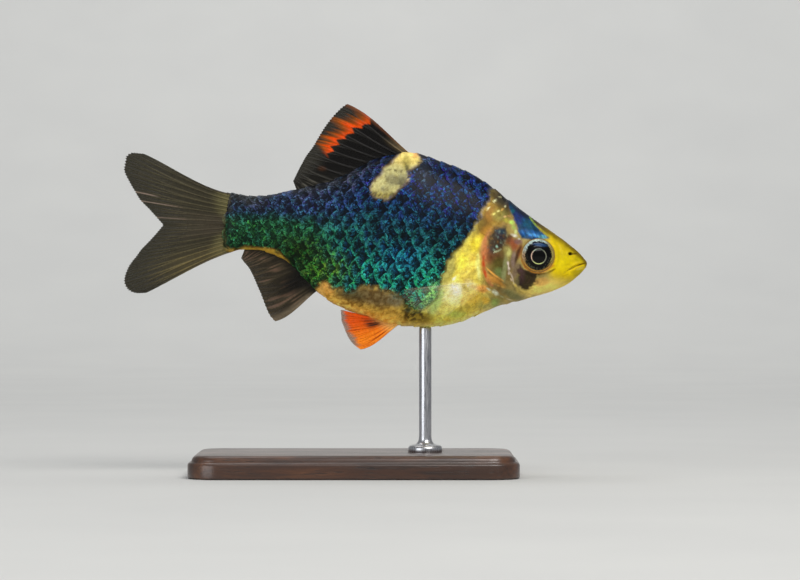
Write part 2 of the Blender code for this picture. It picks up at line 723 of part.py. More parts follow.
def trunk(parts, helpers):
    obj = body_loft("trunk", parts)
    side_cutter("ahead_of_trunk", offset_line(GILL_LINE, -GAP / 2), True, helpers)
    side_cutter("behind_trunk", offset_line(STEM_LINE, GAP / 2), False, helpers)
    carve(obj, helpers, "DIFFERENCE")
    return obj


def tail_stem(parts, helpers):
    obj = body_loft("tail_stem", parts)
    side_cutter("ahead_of_stem", offset_line(STEM_LINE, -GAP / 2), True, helpers)
    carve(obj, helpers, "DIFFERENCE")
    return obj


def stand_base(parts):
    bm = bmesh.new()
    bmesh.ops.create_cube(bm, size=1.0)
    bmesh.ops.scale(bm, verts=bm.verts, vec=(BASE_LENGTH, BASE_WIDTH, BASE_HEIGHT))
    bmesh.ops.translate(bm, verts=bm.verts, vec=(0, 0, BASE_HEIGHT / 2))
    upright = [e for e in bm.edges if abs(e.verts[0].co.z - e.verts[1].co.z) > BASE_HEIGHT / 2]
    bmesh.ops.bevel(bm, geom=upright, offset=BASE_CORNER, segments=6, profile=0.5, affect="EDGES")
    top = [e for e in bm.edges if all(v.co.z > BASE_HEIGHT - BASE_EDGE for v in e.verts)]
    bmesh.ops.bevel(bm, geom=top, offset=BASE_EDGE, segments=2, profile=0.5, affect="EDGES")
    return add_object("stand_base", bm, "wood", parts)


def stand_rod(parts, helpers, fish):
    """A rod with a round foot, its top end cut to the belly that it carries."""
    profile = [
        (0.0, BASE_HEIGHT + GAP),
        (FOOT_RADIUS, BASE_HEIGHT + GAP),
        (FOOT_RADIUS, BASE_HEIGHT + GAP + FOOT_HEIGHT * FOOT_EDGE_SHARE),
        (FOOT_RADIUS * FOOT_TOP_SHARE, BASE_HEIGHT + GAP + FOOT_HEIGHT),
        (ROD_RADIUS, BASE_HEIGHT + GAP + FOOT_HEIGHT),
        (ROD_RADIUS, FISH_LOCATION[2]),
        (0.0, FISH_LOCATION[2]),
    ]
    bm = bmesh.new()
    verts = [bm.verts.new((radius, 0.0, z)) for radius, z in profile]
    for a, b in zip(verts, verts[1:]):
        bm.edges.new((a, b))
    turn(bm, ROD_SEGMENTS)
    bmesh.ops.translate(bm, verts=bm.verts, vec=(ROD_X, 0, 0))
    obj = add_object("stand_rod", bm, "steel", parts)
    body_loft("belly_clearance", helpers, grow=GAP).parent = fish
    carve(obj, helpers, "DIFFERENCE")
    return obj


def main():
    clear_scene()
    make_materials()
    parts = bpy.data.collections.new("tiger_barb")
    helpers = bpy.data.collections.new("cutters")
    helpers.hide_render = True
    for collection in (parts, helpers):
        bpy.context.scene.collection.children.link(collection)
    fish = bpy.data.objects.new("fish", None)
    parts.objects.link(fish)
    fish.location = FISH_LOCATION
    fish.rotation_euler = (0.0, NOSE_DOWN, 0.0)
    pieces = [head(parts, helpers), trunk(parts, helpers), tail_stem(parts, helpers)]
    pieces += [dorsal_fin(parts), anal_fin(parts)]
    pieces.append(tail_lobe("tail_fin_upper", parts, UPPER_TAIL_ROOT, UPPER_TAIL_EDGE))
    pieces.append(tail_lobe("tail_fin_lower", parts, LOWER_TAIL_ROOT, LOWER_TAIL_EDGE))
    for name, side in (("left", 1), ("right", -1)):
        pieces.append(gill_cover(f"gill_cover_{name}", parts, side))
        pieces.append(eyeball(f"eye_{name}", parts, side))
        pieces.append(pelvic_fin(f"pelvic_fin_{name}", parts, side))
        pieces.append(pectoral_fin(f"pectoral_fin_{name}", parts, side))
    for piece in pieces:
        piece.parent = fish
    stand_base(parts)
    stand_rod(parts, helpers, fish)
    for piece in parts.objects:
        if piece.type == "MESH":
            piece.data.shade_smooth()
            piece.data.set_sharp_from_angle(angle=SMOOTH_BELOW)


main()
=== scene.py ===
"""The looks of a life-size tiger barb on a small display stand.

All of the fish is worked out in its own frame, in millimetres: X runs forward from the tail base
to the snout, Y to the fish's left and Z up, as in the solids that these pieces dress.
"""

import math

import bpy
import numpy as np
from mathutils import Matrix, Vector


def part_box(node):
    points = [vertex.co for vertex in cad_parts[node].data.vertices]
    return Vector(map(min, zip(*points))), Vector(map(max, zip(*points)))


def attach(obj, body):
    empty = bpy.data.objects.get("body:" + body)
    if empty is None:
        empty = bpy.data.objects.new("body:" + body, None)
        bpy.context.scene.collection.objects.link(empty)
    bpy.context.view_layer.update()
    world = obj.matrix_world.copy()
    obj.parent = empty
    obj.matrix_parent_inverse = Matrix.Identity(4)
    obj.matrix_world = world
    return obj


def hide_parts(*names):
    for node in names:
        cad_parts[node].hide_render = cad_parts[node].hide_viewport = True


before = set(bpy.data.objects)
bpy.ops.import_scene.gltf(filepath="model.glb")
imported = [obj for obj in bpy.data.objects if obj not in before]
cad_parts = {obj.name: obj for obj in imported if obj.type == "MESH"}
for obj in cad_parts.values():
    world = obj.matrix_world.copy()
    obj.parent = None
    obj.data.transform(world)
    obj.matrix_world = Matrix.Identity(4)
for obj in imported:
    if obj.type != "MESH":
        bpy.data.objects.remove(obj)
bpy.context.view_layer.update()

MM = 0.001
SEED = 7

# The fish's place, as in the solids
STANDARD_LENGTH = 46.5
NOSE_DOWN = math.radians(6.67)
FISH_LOCATION = (-16.27, 0.0, 32.5)

# Distance behind the snout, heights of back and belly, half width, and how pinched the section
# is at the back and at the belly. The last rows are the flesh that runs out between the tail rays.
BODY = np.array(
    [
        (0.0, 0.10, 0.00, 0.05, 0.90, 0.90),
        (0.25, 0.50, -0.62, 0.72, 0.90, 0.90),
        (1.0, 1.22, -1.62, 1.30, 0.90, 0.95),
        (2.2, 2.06, -2.80, 1.85, 0.88, 1.00),
        (4.0, 3.13, -3.90, 2.50, 0.85, 1.05),
        (6.5, 4.47, -4.99, 3.15, 0.82, 1.05),
        (9.5, 6.16, -6.23, 3.80, 0.88, 1.00),
        (12.5, 8.11, -7.74, 4.30, 1.00, 0.98),
        (16.0, 9.94, -9.61, 4.70, 1.12, 0.95),
        (20.0, 11.05, -10.51, 4.85, 1.18, 0.92),
        (24.0, 11.80, -10.70, 4.60, 1.18, 0.92),
        (28.0, 10.75, -10.01, 4.00, 1.12, 0.95),
        (32.0, 8.15, -8.76, 3.30, 1.08, 1.00),
        (34.0, 7.00, -7.62, 2.98, 1.05, 1.00),
        (36.5, 5.98, -5.65, 2.55, 1.00, 1.00),
        (39.0, 5.12, -3.95, 2.15, 1.00, 1.00),
        (42.0, 4.12, -3.20, 1.75, 1.00, 1.00),
        (44.5, 3.82, -3.45, 1.45, 1.00, 1.00),
        (46.1, 3.93, -3.94, 1.05, 1.00, 1.00),
        (46.5, 3.94, -3.98, 0.80, 1.00, 1.00),
        (46.8, 3.94, -4.00, 0.46, 1.00, 1.00),
        (47.05, 3.94, -4.00, 0.08, 1.00, 1.00),
    ]
)
WIDEST_BELOW_MIDDLE = 0.06

# The skin's mesh
SNOUT_LENGTH, SNOUT_RINGS = 0.5, 22
HEAD_LENGTH, HEAD_SPACING = 15.0, 0.085
TRUNK_SPACING = 0.26
HALF_RING_POINTS = 150
TAIL_END_RINGS = 16
TIP_SETBACK = 0.08
SKIN_DEPTH = 0.16

# Eyes
EYE_X, EYE_Z, EYE_RADIUS = 40.0, 0.41, 2.08
EYE_LEVEL, EYE_TURN = 2.98, 0.2
EYE_DOME = 0.52
PUPIL_RADIUS = 0.88
PUPIL_AT = (0.08, -0.14)
PUPIL_DOME = 0.14

# Lines on the head, seen from the side
MOUTH = [(46.45, 0.12), (45.9, 0.02), (45.2, -0.28), (44.6, -0.68), (44.1, -1.08)]
JAW_CREASE = [(44.1, -1.08), (43.75, -1.5), (43.3, -1.95)]
NOSTRIL = (44.12, 1.10)
NOSTRIL_SLIT = [(44.25, 1.12), (44.95, 1.20)]
COVER_REAR = [(35.9, 4.6), (35.2, 3.95), (34.4, 3.2), (33.6, 1.6), (33.10, -0.75), (33.3, -3.0), (34.2, -4.45),
              (35.6, -5.15), (37.4, -5.75), (39.5, -5.95)]
CHEEK_RIDGE = [(36.7, 2.2), (36.35, 1.0), (36.25, -0.9), (36.55, -1.9), (37.0, -2.8), (37.45, -3.7), (38.6, -4.5),
               (40.4, -4.7)]
UNDER_EYE = [(37.6, -0.5), (38.1, -1.25), (38.9, -1.62), (39.8, -1.75), (40.8, -1.6), (41.7, -1.2), (42.4, -0.7)]
LOWER_COVER = [(33.6, -2.1), (34.7, -2.8), (35.9, -3.4), (37.0, -3.95)]
SCALES_BEGIN = [(36.6, 12.0), (36.2, 9.0), (35.4, 7.0), (34.6, 5.0), (33.9, 3.6), (33.0, 1.6), (32.5, -0.75),
                (32.7, -3.2), (33.7, -4.9), (35.3, -5.8), (37.0, -6.6), (37.6, -9.0)]
SCALES_END = [(0.9, -6.0), (0.6, -3.8), (-0.3, -2.1), (-0.6, -0.6), (-0.6, 0.9), (-0.2, 2.1), (0.4, 6.0)]


def srgb(*levels):
    """A screen colour, each part from 0 to 255, as linear light."""
    share = np.array(levels, float) / 255
    return np.where(share <= 0.04045, share / 12.92, ((share + 0.055) / 1.055) ** 2.4)


def ramp(start, end, value):
    """0 at start and 1 at end, with a smooth rise between them."""
    t = np.clip((value - start) / (end - start), 0, 1)
    return t * t * (3 - 2 * t)


def track(places, values):
    """A smooth line through values at places that never overshoots, as a function of a place."""
    places = np.asarray(places, float)
    values = np.asarray(values, float)
    steps = np.diff(places)
    spread = steps.reshape((-1,) + (1,) * (values.ndim - 1))
    slopes = np.diff(values, axis=0) / spread
    tangents = np.zeros_like(values)
    tangents[0] = slopes[0]
    tangents[-1] = slopes[-1]
    before, after = slopes[:-1], slopes[1:]
    together = np.where(before + after == 0, 1.0, before + after)
    tangents[1:-1] = np.where(before * after > 0, 2 * before * after / together, 0.0)

    def at(wanted):
        wanted = np.clip(np.asarray(wanted, float), places[0], places[-1])
        i = np.clip(np.searchsorted(places, wanted) - 1, 0, len(steps) - 1)
        t = (wanted - places[i]) / steps[i]
        step = steps[i]
        if values.ndim > 1:
            t, step = t[..., None], step[..., None]
        return (
            values[i] * (1 + 2 * t) * (1 - t) ** 2
            + values[i + 1] * t * t * (3 - 2 * t)
            + tangents[i] * step * t * (1 - t) ** 2
            - tangents[i + 1] * step * t * t * (1 - t)
        )

    return at


def line_track(points):
    """A smooth line through points, as a function of the share of the way along it."""
    points = np.array(points, float)
    lengths = np.linalg.norm(np.diff(points, axis=0), axis=1)
    return track(np.concatenate([[0.0], np.cumsum(lengths)]) / lengths.sum(), points)


BODY_TRACK = track(np.sqrt(BODY[:, 0]), BODY[:, 1:])


def girth(x):
    """Back, belly, half width, widest height, back pinch and belly pinch of the section at each x."""
    behind = np.maximum(STANDARD_LENGTH - np.asarray(x, float), 0)
    back, belly, half_width, back_pinch, belly_pinch = np.moveaxis(BODY_TRACK(np.sqrt(behind)), -1, 0)
    widest = (back + belly) / 2 - WIDEST_BELOW_MIDDLE * (back - belly)
    return back, belly, half_width, widest, back_pinch, belly_pinch


def half_width_at(x, z):
    """How far the body stands out sideways at places seen from the side."""
    back, belly, half_width, widest, back_pinch, belly_pinch = girth(x)
    above = z > widest
    share = np.where(above, (z - widest) / (back - widest), (widest - z) / (widest - belly))
    share = np.clip(share, 0, 0.9999)
    return half_width * np.sqrt(1 - share * share) ** np.where(above, back_pinch, belly_pinch)


def half_section(x, steps=240):
    """The left half of the section at one x, as y, z and length run from the back downwards."""
    back, belly, half_width, widest, back_pinch, belly_pinch = (float(v) for v in girth(x))
    angles = np.linspace(0, math.pi, steps + 1)
    upper = angles < math.pi / 2
    z = widest + np.where(upper, back - widest, widest - belly) * np.cos(angles)
    y = half_width * np.abs(np.sin(angles)) ** np.where(upper, back_pinch, belly_pinch)
    y[0] = y[-1] = 0.0
    run = np.concatenate([[0.0], np.cumsum(np.hypot(np.diff(y), np.diff(z)))])
    return y, z, run


def from_line(x, z, points):
    """Signed distance of places from a line seen from the side, plus on its left, and the share along it."""
    points = np.array(points, float)
    lengths = np.linalg.norm(np.diff(points, axis=0), axis=1)
    starts = np.concatenate([[0.0], np.cumsum(lengths)])
    nearest = np.full(np.shape(x), np.inf)
    signed = np.zeros(np.shape(x))
    share = np.zeros(np.shape(x))
    for (ax, az), (bx, bz), length, start in zip(points, points[1:], lengths, starts):
        dx, dz = (bx - ax) / length, (bz - az) / length
        t = np.clip((x - ax) * dx + (z - az) * dz, 0, length)
        off = np.hypot(x - ax - t * dx, z - az - t * dz)
        closer = off < nearest
        side = np.sign(dx * (z - az) - dz * (x - ax))
        nearest = np.where(closer, off, nearest)
        signed = np.where(closer, off * side, signed)
        share = np.where(closer, (start + t) / starts[-1], share)
    return signed, share


def inside(x, z, outline, soft=0.3):
    """1 inside an outline seen from the side and 0 outside it, with a soft edge."""
    points = np.array(list(outline) + [outline[0]], float)
    off, _ = from_line(x, z, points)
    within = np.zeros(np.shape(x), bool)
    for (ax, az), (bx, bz) in zip(points, points[1:]):
        if az != bz:
            crosses = (az > z) != (bz > z)
            within ^= crosses & (x < (bx - ax) * (z - az) / (bz - az) + ax)
    depth = np.where(within, np.abs(off), -np.abs(off))
    return ramp(-soft, soft, depth)


def blob(x, z, centre, reach, turn=0.0, soft=0.4):
    """1 within an ellipse seen from the side and 0 beyond it, with an edge as soft as the share says."""
    c, s = math.cos(math.radians(turn)), math.sin(math.radians(turn))
    dx, dz = x - centre[0], z - centre[1]
    away = np.hypot((dx * c + dz * s) / reach[0], (dz * c - dx * s) / reach[1])
    return ramp(1 + soft, 1 - soft, away)


def stroke(x, z, points, width):
    """1 on a line and 0 a width away from it, thinner towards its ends."""
    off, share = from_line(x, z, points)
    taper = 0.45 + 0.55 * np.sqrt(np.clip(np.sin(math.pi * share), 0, 1))
    return ramp(1.0, 0.25, np.abs(off) / (width * taper))


def lumps(points, size, seed):
    """Smooth noise from 0 to 1 at places in millimetres, with lumps about size across."""
    q = points / size
    cell = np.floor(q).astype(np.int64)
    t = q - cell
    t = t * t * (3 - 2 * t)
    total = np.zeros(len(points))
    for corner in np.ndindex(2, 2, 2):
        h = (cell + corner) @ np.array([73856093, 19349663, 83492791]) + (seed + SEED) * 2654435761
        h = (h ^ (h >> 13)) * 1274126177
        value = ((h ^ (h >> 16)) & 0xFFFFFF) / 0xFFFFFF
        weight = np.prod(np.where(np.array(corner) == 1, t, 1 - t), axis=1)
        total += value * weight
    return total


# How the skin stands proud of, or sinks below, the plain body


def head_relief(x, z):
    """Height of the head's features over the plain body at places seen from the side."""
    height = np.zeros(np.shape(x))
    mouth, along = from_line(x, z, MOUTH)
    open_share = ramp(1.0, 0.9, along)
    lips = np.exp(-((mouth - 0.27) / 0.17) ** 2) + 0.9 * np.exp(-((mouth + 0.27) / 0.17) ** 2)
    height += 0.06 * lips * open_share
    height -= 0.17 * np.exp(-((mouth / 0.09) ** 2)) * open_share
    crease, share = from_line(x, z, JAW_CREASE)
    height -= 0.05 * np.exp(-((crease / 0.14) ** 2)) * ramp(1.0, 0.6, share)
    pit = np.hypot((x - NOSTRIL[0]) / 1.15, (z - NOSTRIL[1]) / 0.95)
    height += 0.05 * np.exp(-(((pit - 0.32) / 0.12) ** 2)) - 0.26 * ramp(0.26, 0.10, pit)
    slit, _ = from_line(x, z, NOSTRIL_SLIT)
    height -= 0.06 * np.exp(-((slit / 0.09) ** 2))
    orbit = np.hypot(x - EYE_X, z - EYE_Z)
    height += 0.09 * np.exp(-(((orbit - 2.40) / 0.28) ** 2))
    height -= 0.05 * np.exp(-(((orbit - 2.90) / 0.24) ** 2))
    height -= 1.6 * ramp(2.14, 1.94, orbit)
    below, share = from_line(x, z, UNDER_EYE)
    height -= 0.05 * np.exp(-((below / 0.14) ** 2)) * np.sin(math.pi * np.clip(share, 0, 1)) ** 0.5
    ridge, share = from_line(x, z, CHEEK_RIDGE)
    fade = np.clip(np.sin(math.pi * share), 0, 1) ** 0.6
    height += fade * (0.10 * np.exp(-((ridge / 0.24) ** 2)) - 0.07 * np.exp(-(((ridge - 0.42) / 0.2) ** 2)))
    flap, share = from_line(x, z, COVER_REAR)
    held = ramp(0.0, 0.2, share) * ramp(1.0, 0.8, share)
    cover = ramp(-0.12, 0.16, flap) * ramp(1.9, 0.3, flap)
    height += held * (0.15 * cover - 0.12 * np.exp(-(((flap + 0.22) / 0.2) ** 2)))
    seam, share = from_line(x, z, LOWER_COVER)
    edge = np.clip(np.sin(math.pi * share), 0, 1)
    height += edge * (0.04 * np.exp(-((seam / 0.13) ** 2)) - 0.04 * np.exp(-(((seam + 0.28) / 0.15) ** 2)))
    return height * ramp(0.0, 0.7, STANDARD_LENGTH - x)


def skin_rings():
    snout = SNOUT_LENGTH * (np.arange(1, SNOUT_RINGS + 1) / SNOUT_RINGS) ** 2
    head = np.arange(SNOUT_LENGTH + HEAD_SPACING, HEAD_LENGTH, HEAD_SPACING)
    trunk = np.arange(HEAD_LENGTH, BODY[-4, 0], TRUNK_SPACING)
    end = np.linspace(BODY[-4, 0], BODY[-1, 0], TAIL_END_RINGS)
    behind = np.concatenate([snout, head, trunk, end])
    return STANDARD_LENGTH - np.maximum(behind, TIP_SETBACK + 0.1 * behind)


def behind_head(x, z):
    """0 on the head and 1 where scales cover the skin."""
    off, _ = from_line(x, z, SCALES_BEGIN)
    return ramp(0.35, -0.35, off)


def skin_grid():
    """Places of the skin, one row for each ring, running from the back down the left and up the right."""
    rows = []
    for x in skin_rings():
        y, z, run = half_section(x)
        wanted = np.linspace(0, run[-1], HALF_RING_POINTS + 1)
        y, z = np.interp(wanted, run, y), np.interp(wanted, run, z)
        left = np.stack([np.full(len(y), x), y, z], axis=1)
        right = left[-2:0:-1] * (1, -1, 1)
        rows.append(np.concatenate([left, right]))
    grid = np.array(rows)
    around = np.roll(grid, -1, axis=1) - np.roll(grid, 1, axis=1)
    along = np.gradient(grid, axis=0)
    normal = np.cross(around, along)
    normal /= np.maximum(np.linalg.norm(normal, axis=2, keepdims=True), 1e-9)
    outward = grid - np.array([0, 0, 1]) * girth(grid[..., 0])[3][..., None]
    outward[..., 0] = 0
    turned = np.sum(normal * outward, axis=2, keepdims=True) < 0
    normal = np.where(turned, -normal, normal)
    x, z = grid[..., 0], grid[..., 2]
    scaled = behind_head(x, z)
    fine = (lumps(grid.reshape(-1, 3), 0.55, 3) - 0.5).reshape(x.shape)
    height = head_relief(x, z) * (1 - ramp(0.75, 1.0, scaled)) - SKIN_DEPTH * scaled
    height += 0.03 * fine * (1 - scaled) * ramp(0, 2, STANDARD_LENGTH - x)
    return grid + normal * height[..., None]


def new_mesh(name, points, faces, material):
    """A mesh object from places in millimetres."""
    mesh = bpy.data.meshes.new(name)
    mesh.from_pydata((np.asarray(points) * MM).tolist(), [], faces)
    mesh.materials.append(material)
    mesh.shade_smooth()
    obj = bpy.data.objects.new(name, mesh)
    bpy.context.scene.collection.objects.link(obj)
    return obj


def fish_mesh(name, points, faces, material):
    """A mesh object from places in the fish's own frame, set nose down over the stand."""
    c, s = math.cos(NOSE_DOWN), math.sin(NOSE_DOWN)
    x, y, z = np.asarray(points).T
    placed = np.stack([c * x + s * z, y, c * z - s * x], axis=1) + FISH_LOCATION
    return new_mesh(name, placed, faces, material)


def store_colour(mesh, name, colour, alpha):
    """Keeps a colour and a fourth number for each vertex."""
    data = np.concatenate([colour, np.asarray(alpha)[:, None]], axis=1).astype(np.float32)
    layer = mesh.attributes.new(name, "FLOAT_COLOR", "POINT")
    layer.data.foreach_set("color", data.ravel())


def store_number(mesh, name, values):
    layer = mesh.attributes.new(name, "FLOAT", "POINT")
    layer.data.foreach_set("value", np.asarray(values, np.float32))


def lay(under, colour, mask):
    """One colour over others, as far as a mask lets it."""
    return under + (np.asarray(colour) - under) * np.asarray(mask)[:, None]


# Markings, seen from the side
DARK_OUTLINE = [(37.5, 14.0), (35.4, 9.6), (33.6, 8.7), (32.9, 8.0), (32.75, 6.8), (32.4, 5.5), (32.1, 4.4),
                (31.5, 3.0), (30.9, 1.8), (30.0, 0.3), (29.1, -0.8), (28.5, -2.2), (28.2, -3.8), (27.9, -5.4),
                (27.4, -6.9), (26.6, -8.0), (25.2, -8.7), (24.1, -8.3), (23.2, -7.2), (22.4, -6.4), (20.7, -6.1),
                (19.1, -5.8), (17.8, -6.2), (17.0, -7.0), (15.7, -7.2), (14.2, -6.6), (13.2, -6.1), (12.4, -6.6),
                (12.2, -9.2), (9.6, -6.8), (8.7, -5.2), (8.2, -4.2), (7.2, -3.2), (5.5, -2.6), (4.3, -2.7),
                (2.6, -2.8), (1.4, -3.5), (0.2, -3.2), (-3.0, -2.6), (-3.0, 14.0)]
CREAM_PATCH = [(20.9, 13.0), (20.7, 11.2), (20.0, 9.9), (19.1, 9.3), (18.8, 8.2), (18.0, 7.5), (17.7, 6.3), (18.6, 5.7),
               (19.9, 5.1), (20.6, 5.7), (21.3, 6.6), (22.3, 7.7), (22.4, 9.3), (23.4, 10.1), (23.5, 10.9),
               (23.2, 11.7), (23.2, 13.0)]


def flank_colours(x, z, noise):
    """Glitter, ground and strength of glitter on the dark flank.

    It is navy blue along the back, slate and teal below that, turquoise low down and green to the rear.
    """
    back, _, _, widest, _, _ = girth(x)
    up = (z - widest) / (back - widest) + 0.3 * (noise - 0.5)
    level = z + 2.0 * (noise - 0.5)
    count = (len(x), 1)
    pale, deep = np.tile(srgb(46, 122, 106), count), np.tile(srgb(4, 17, 18), count)
    strength = np.full(len(x), 0.62)
    for pale_paint, deep_paint, power, mask in [
        ((60, 128, 84), (10, 30, 19), 0.62, ramp(17, 6, x)),
        ((44, 94, 116), (5, 14, 22), 0.5, ramp(-0.2, 0.5, up) * ramp(13, 21, x)),
        ((58, 176, 142), (4, 21, 20), 0.95, ramp(-0.2, -4.0, level) * ramp(11, 18, x)),
        ((54, 144, 164), (4, 20, 30), 0.95, blob(x, z, (22.8, -2.2), (2.8, 1.8), 10, 0.9)),
        ((96, 160, 60), (14, 32, 10), 0.85, blob(x, z, (13.0, -4.7), (3.2, 2.0), 8, 0.8)),
        ((54, 98, 40), (8, 22, 7), 0.5, blob(x, z, (9.6, -2.6), (3.2, 1.9), 10, 0.8)),
        ((42, 68, 126), (3, 4, 13), 0.42, ramp(0.1, 0.72, up)),
        ((70, 98, 148), (10, 14, 28), 0.46, ramp(0.15, 0.75, up) * ramp(20, 11, x)),
        ((80, 86, 100), (14, 15, 18), 0.4, ramp(0.6, 0.98, up) * ramp(20, 16, x) * ramp(6, 9, x)),
        ((74, 80, 84), (22, 23, 23), 0.4, ramp(0.3, 0.95, up) * ramp(8, 2, x)),
        ((80, 92, 108), (20, 24, 34), 0.45, blob(x, z, (24.2, 9.6), (1.0, 1.9), 15, 0.8)),
        ((162, 236, 134), (50, 92, 54), 1.0, blob(x, z, (27.0, -6.4), (0.8, 1.8), -15, 0.7)),
        ((104, 158, 88), (34, 52, 22), 0.9, blob(x, z, (24.6, -8.0), (1.6, 0.7), 0, 0.7)),
    ]:
        pale = lay(pale, srgb(*pale_paint), mask)
        deep = lay(deep, srgb(*deep_paint), mask)
        strength += (power - strength) * mask
    return pale, deep, strength


# Soft spots of paint on the pale parts: colour, middle, reach, turn and strength
BELLY_SPOTS = [
    ((208, 198, 98), (28.2, -7.8), (2.0, 1.6), 0, 0.9),
    ((240, 232, 158), (29.8, -5.7), (2.1, 1.4), 0, 0.95),
    ((216, 196, 96), (31.3, -3.0), (1.3, 2.4), -15, 0.9),
    ((230, 212, 84), (30.3, -1.6), (0.9, 1.1), -30, 0.8),
    ((138, 134, 74), (28.9, -2.7), (0.7, 2.0), -18, 0.85),
    ((214, 182, 82), (32.2, -6.2), (1.3, 0.9), 10, 0.8),
    ((184, 164, 74), (32.4, -7.8), (2.2, 0.9), 15, 0.8),
    ((150, 148, 82), (34.8, -6.5), (1.5, 0.9), 25, 0.85),
    ((250, 246, 206), (30.0, -5.2), (0.7, 0.9), 0, 0.8),
    ((250, 222, 120), (41.2, -3.5), (2.6, 0.8), 18, 0.8),
    ((240, 214, 160), (32.0, -4.4), (1.0, 0.5), -20, 0.7),
    ((132, 158, 80), (35.3, -6.2), (0.5, 0.5), 0, 0.8),
    ((226, 186, 80), (34.0, -6.1), (0.5, 0.5), 0, 0.8),
    ((160, 190, 96), (30.6, -8.3), (1.4, 0.5), 10, 0.5),
    ((146, 190, 112), (27.6, -6.8), (0.8, 1.8), -12, 0.7),
    ((140, 114, 46), (25.9, -9.5), (1.7, 0.8), 0, 0.75),
    ((222, 180, 92), (14.8, -8.2), (2.6, 1.6), 0, 0.9),
    ((226, 184, 92), (22.0, -9.6), (2.2, 1.0), 0, 0.85),
    ((118, 102, 70), (19.6, -7.3), (4.2, 1.1), -2, 0.92),
    ((122, 116, 92), (22.6, -7.3), (1.0, 0.9), 0, 0.8),
    ((98, 92, 60), (16.6, -7.4), (1.6, 0.6), 0, 0.8),
    ((212, 140, 60), (18.4, -9.9), (2.2, 0.45), -6, 0.8),
    ((228, 176, 98), (13.4, -7.0), (1.1, 0.9), 20, 0.9),
]
BAND_SPOTS = [
    ((148, 120, 58), (34.0, 4.9), (2.0, 3.8), -16, 1.0),
    ((92, 72, 36), (32.7, 3.7), (0.8, 1.9), -25, 0.75),
    ((154, 110, 52), (33.3, 4.8), (0.6, 1.0), 0, 0.6),
    ((136, 130, 64), (34.7, 5.0), (0.9, 0.8), 0, 0.75),
    ((92, 88, 62), (34.6, 6.9), (0.9, 0.8), 45, 0.7),
    ((168, 120, 54), (33.2, 2.4), (0.8, 1.1), -30, 0.7),
    ((212, 192, 68), (32.0, 0.9), (0.75, 1.2), -30, 0.85),
    ((188, 132, 90), (33.0, 0.9), (0.42, 1.7), -12, 0.8),
    ((234, 204, 96), (31.6, -1.6), (0.6, 1.1), -10, 0.7),
]
COVER_SPOTS = [
    ((120, 98, 58), (35.1, -0.8), (2.2, 3.6), 4, 0.95),
    ((150, 88, 60), (33.6, -0.2), (0.6, 1.2), 0, 0.85),
    ((98, 66, 44), (34.4, -0.6), (0.9, 0.8), 0, 0.85),
    ((94, 88, 40), (35.0, -1.5), (0.8, 0.9), 0, 0.85),
    ((116, 132, 76), (35.3, -2.4), (0.7, 0.5), -20, 0.85),
    ((188, 178, 108), (36.05, 0.5), (0.5, 1.4), 4, 0.95),
    ((154, 158, 108), (35.9, -1.9), (0.34, 1.5), 4, 0.9),
    ((228, 226, 140), (36.1, 0.2), (0.26, 0.42), 0, 0.9),
    ((126, 70, 44), (36.1, 1.8), (0.5, 0.8), -20, 0.9),
    ((172, 98, 68), (36.7, 1.3), (0.55, 0.8), 0, 0.9),
    ((152, 86, 56), (37.5, 0.6), (0.35, 0.8), 0, 0.85),
    ((134, 98, 94), (37.2, 1.8), (0.5, 0.42), 0, 0.9),
    ((148, 126, 114), (36.9, -0.6), (0.42, 1.1), 0, 0.9),
    ((134, 114, 94), (37.4, -1.9), (0.42, 1.1), -15, 0.9),
    ((116, 106, 76), (37.8, -3.3), (0.5, 1.0), -20, 0.9),
    ((72, 48, 30), (37.35, 0.1), (0.22, 1.1), -8, 0.85),
    ((190, 136, 66), (34.9, -3.5), (1.4, 0.5), -30, 0.85),
    ((132, 108, 66), (35.4, -4.5), (1.9, 0.42), -20, 0.85),
    ((126, 128, 84), (37.4, -5.0), (1.5, 0.5), -14, 0.8),
    ((206, 146, 82), (33.4, -4.6), (0.8, 0.5), 0, 0.9),
]
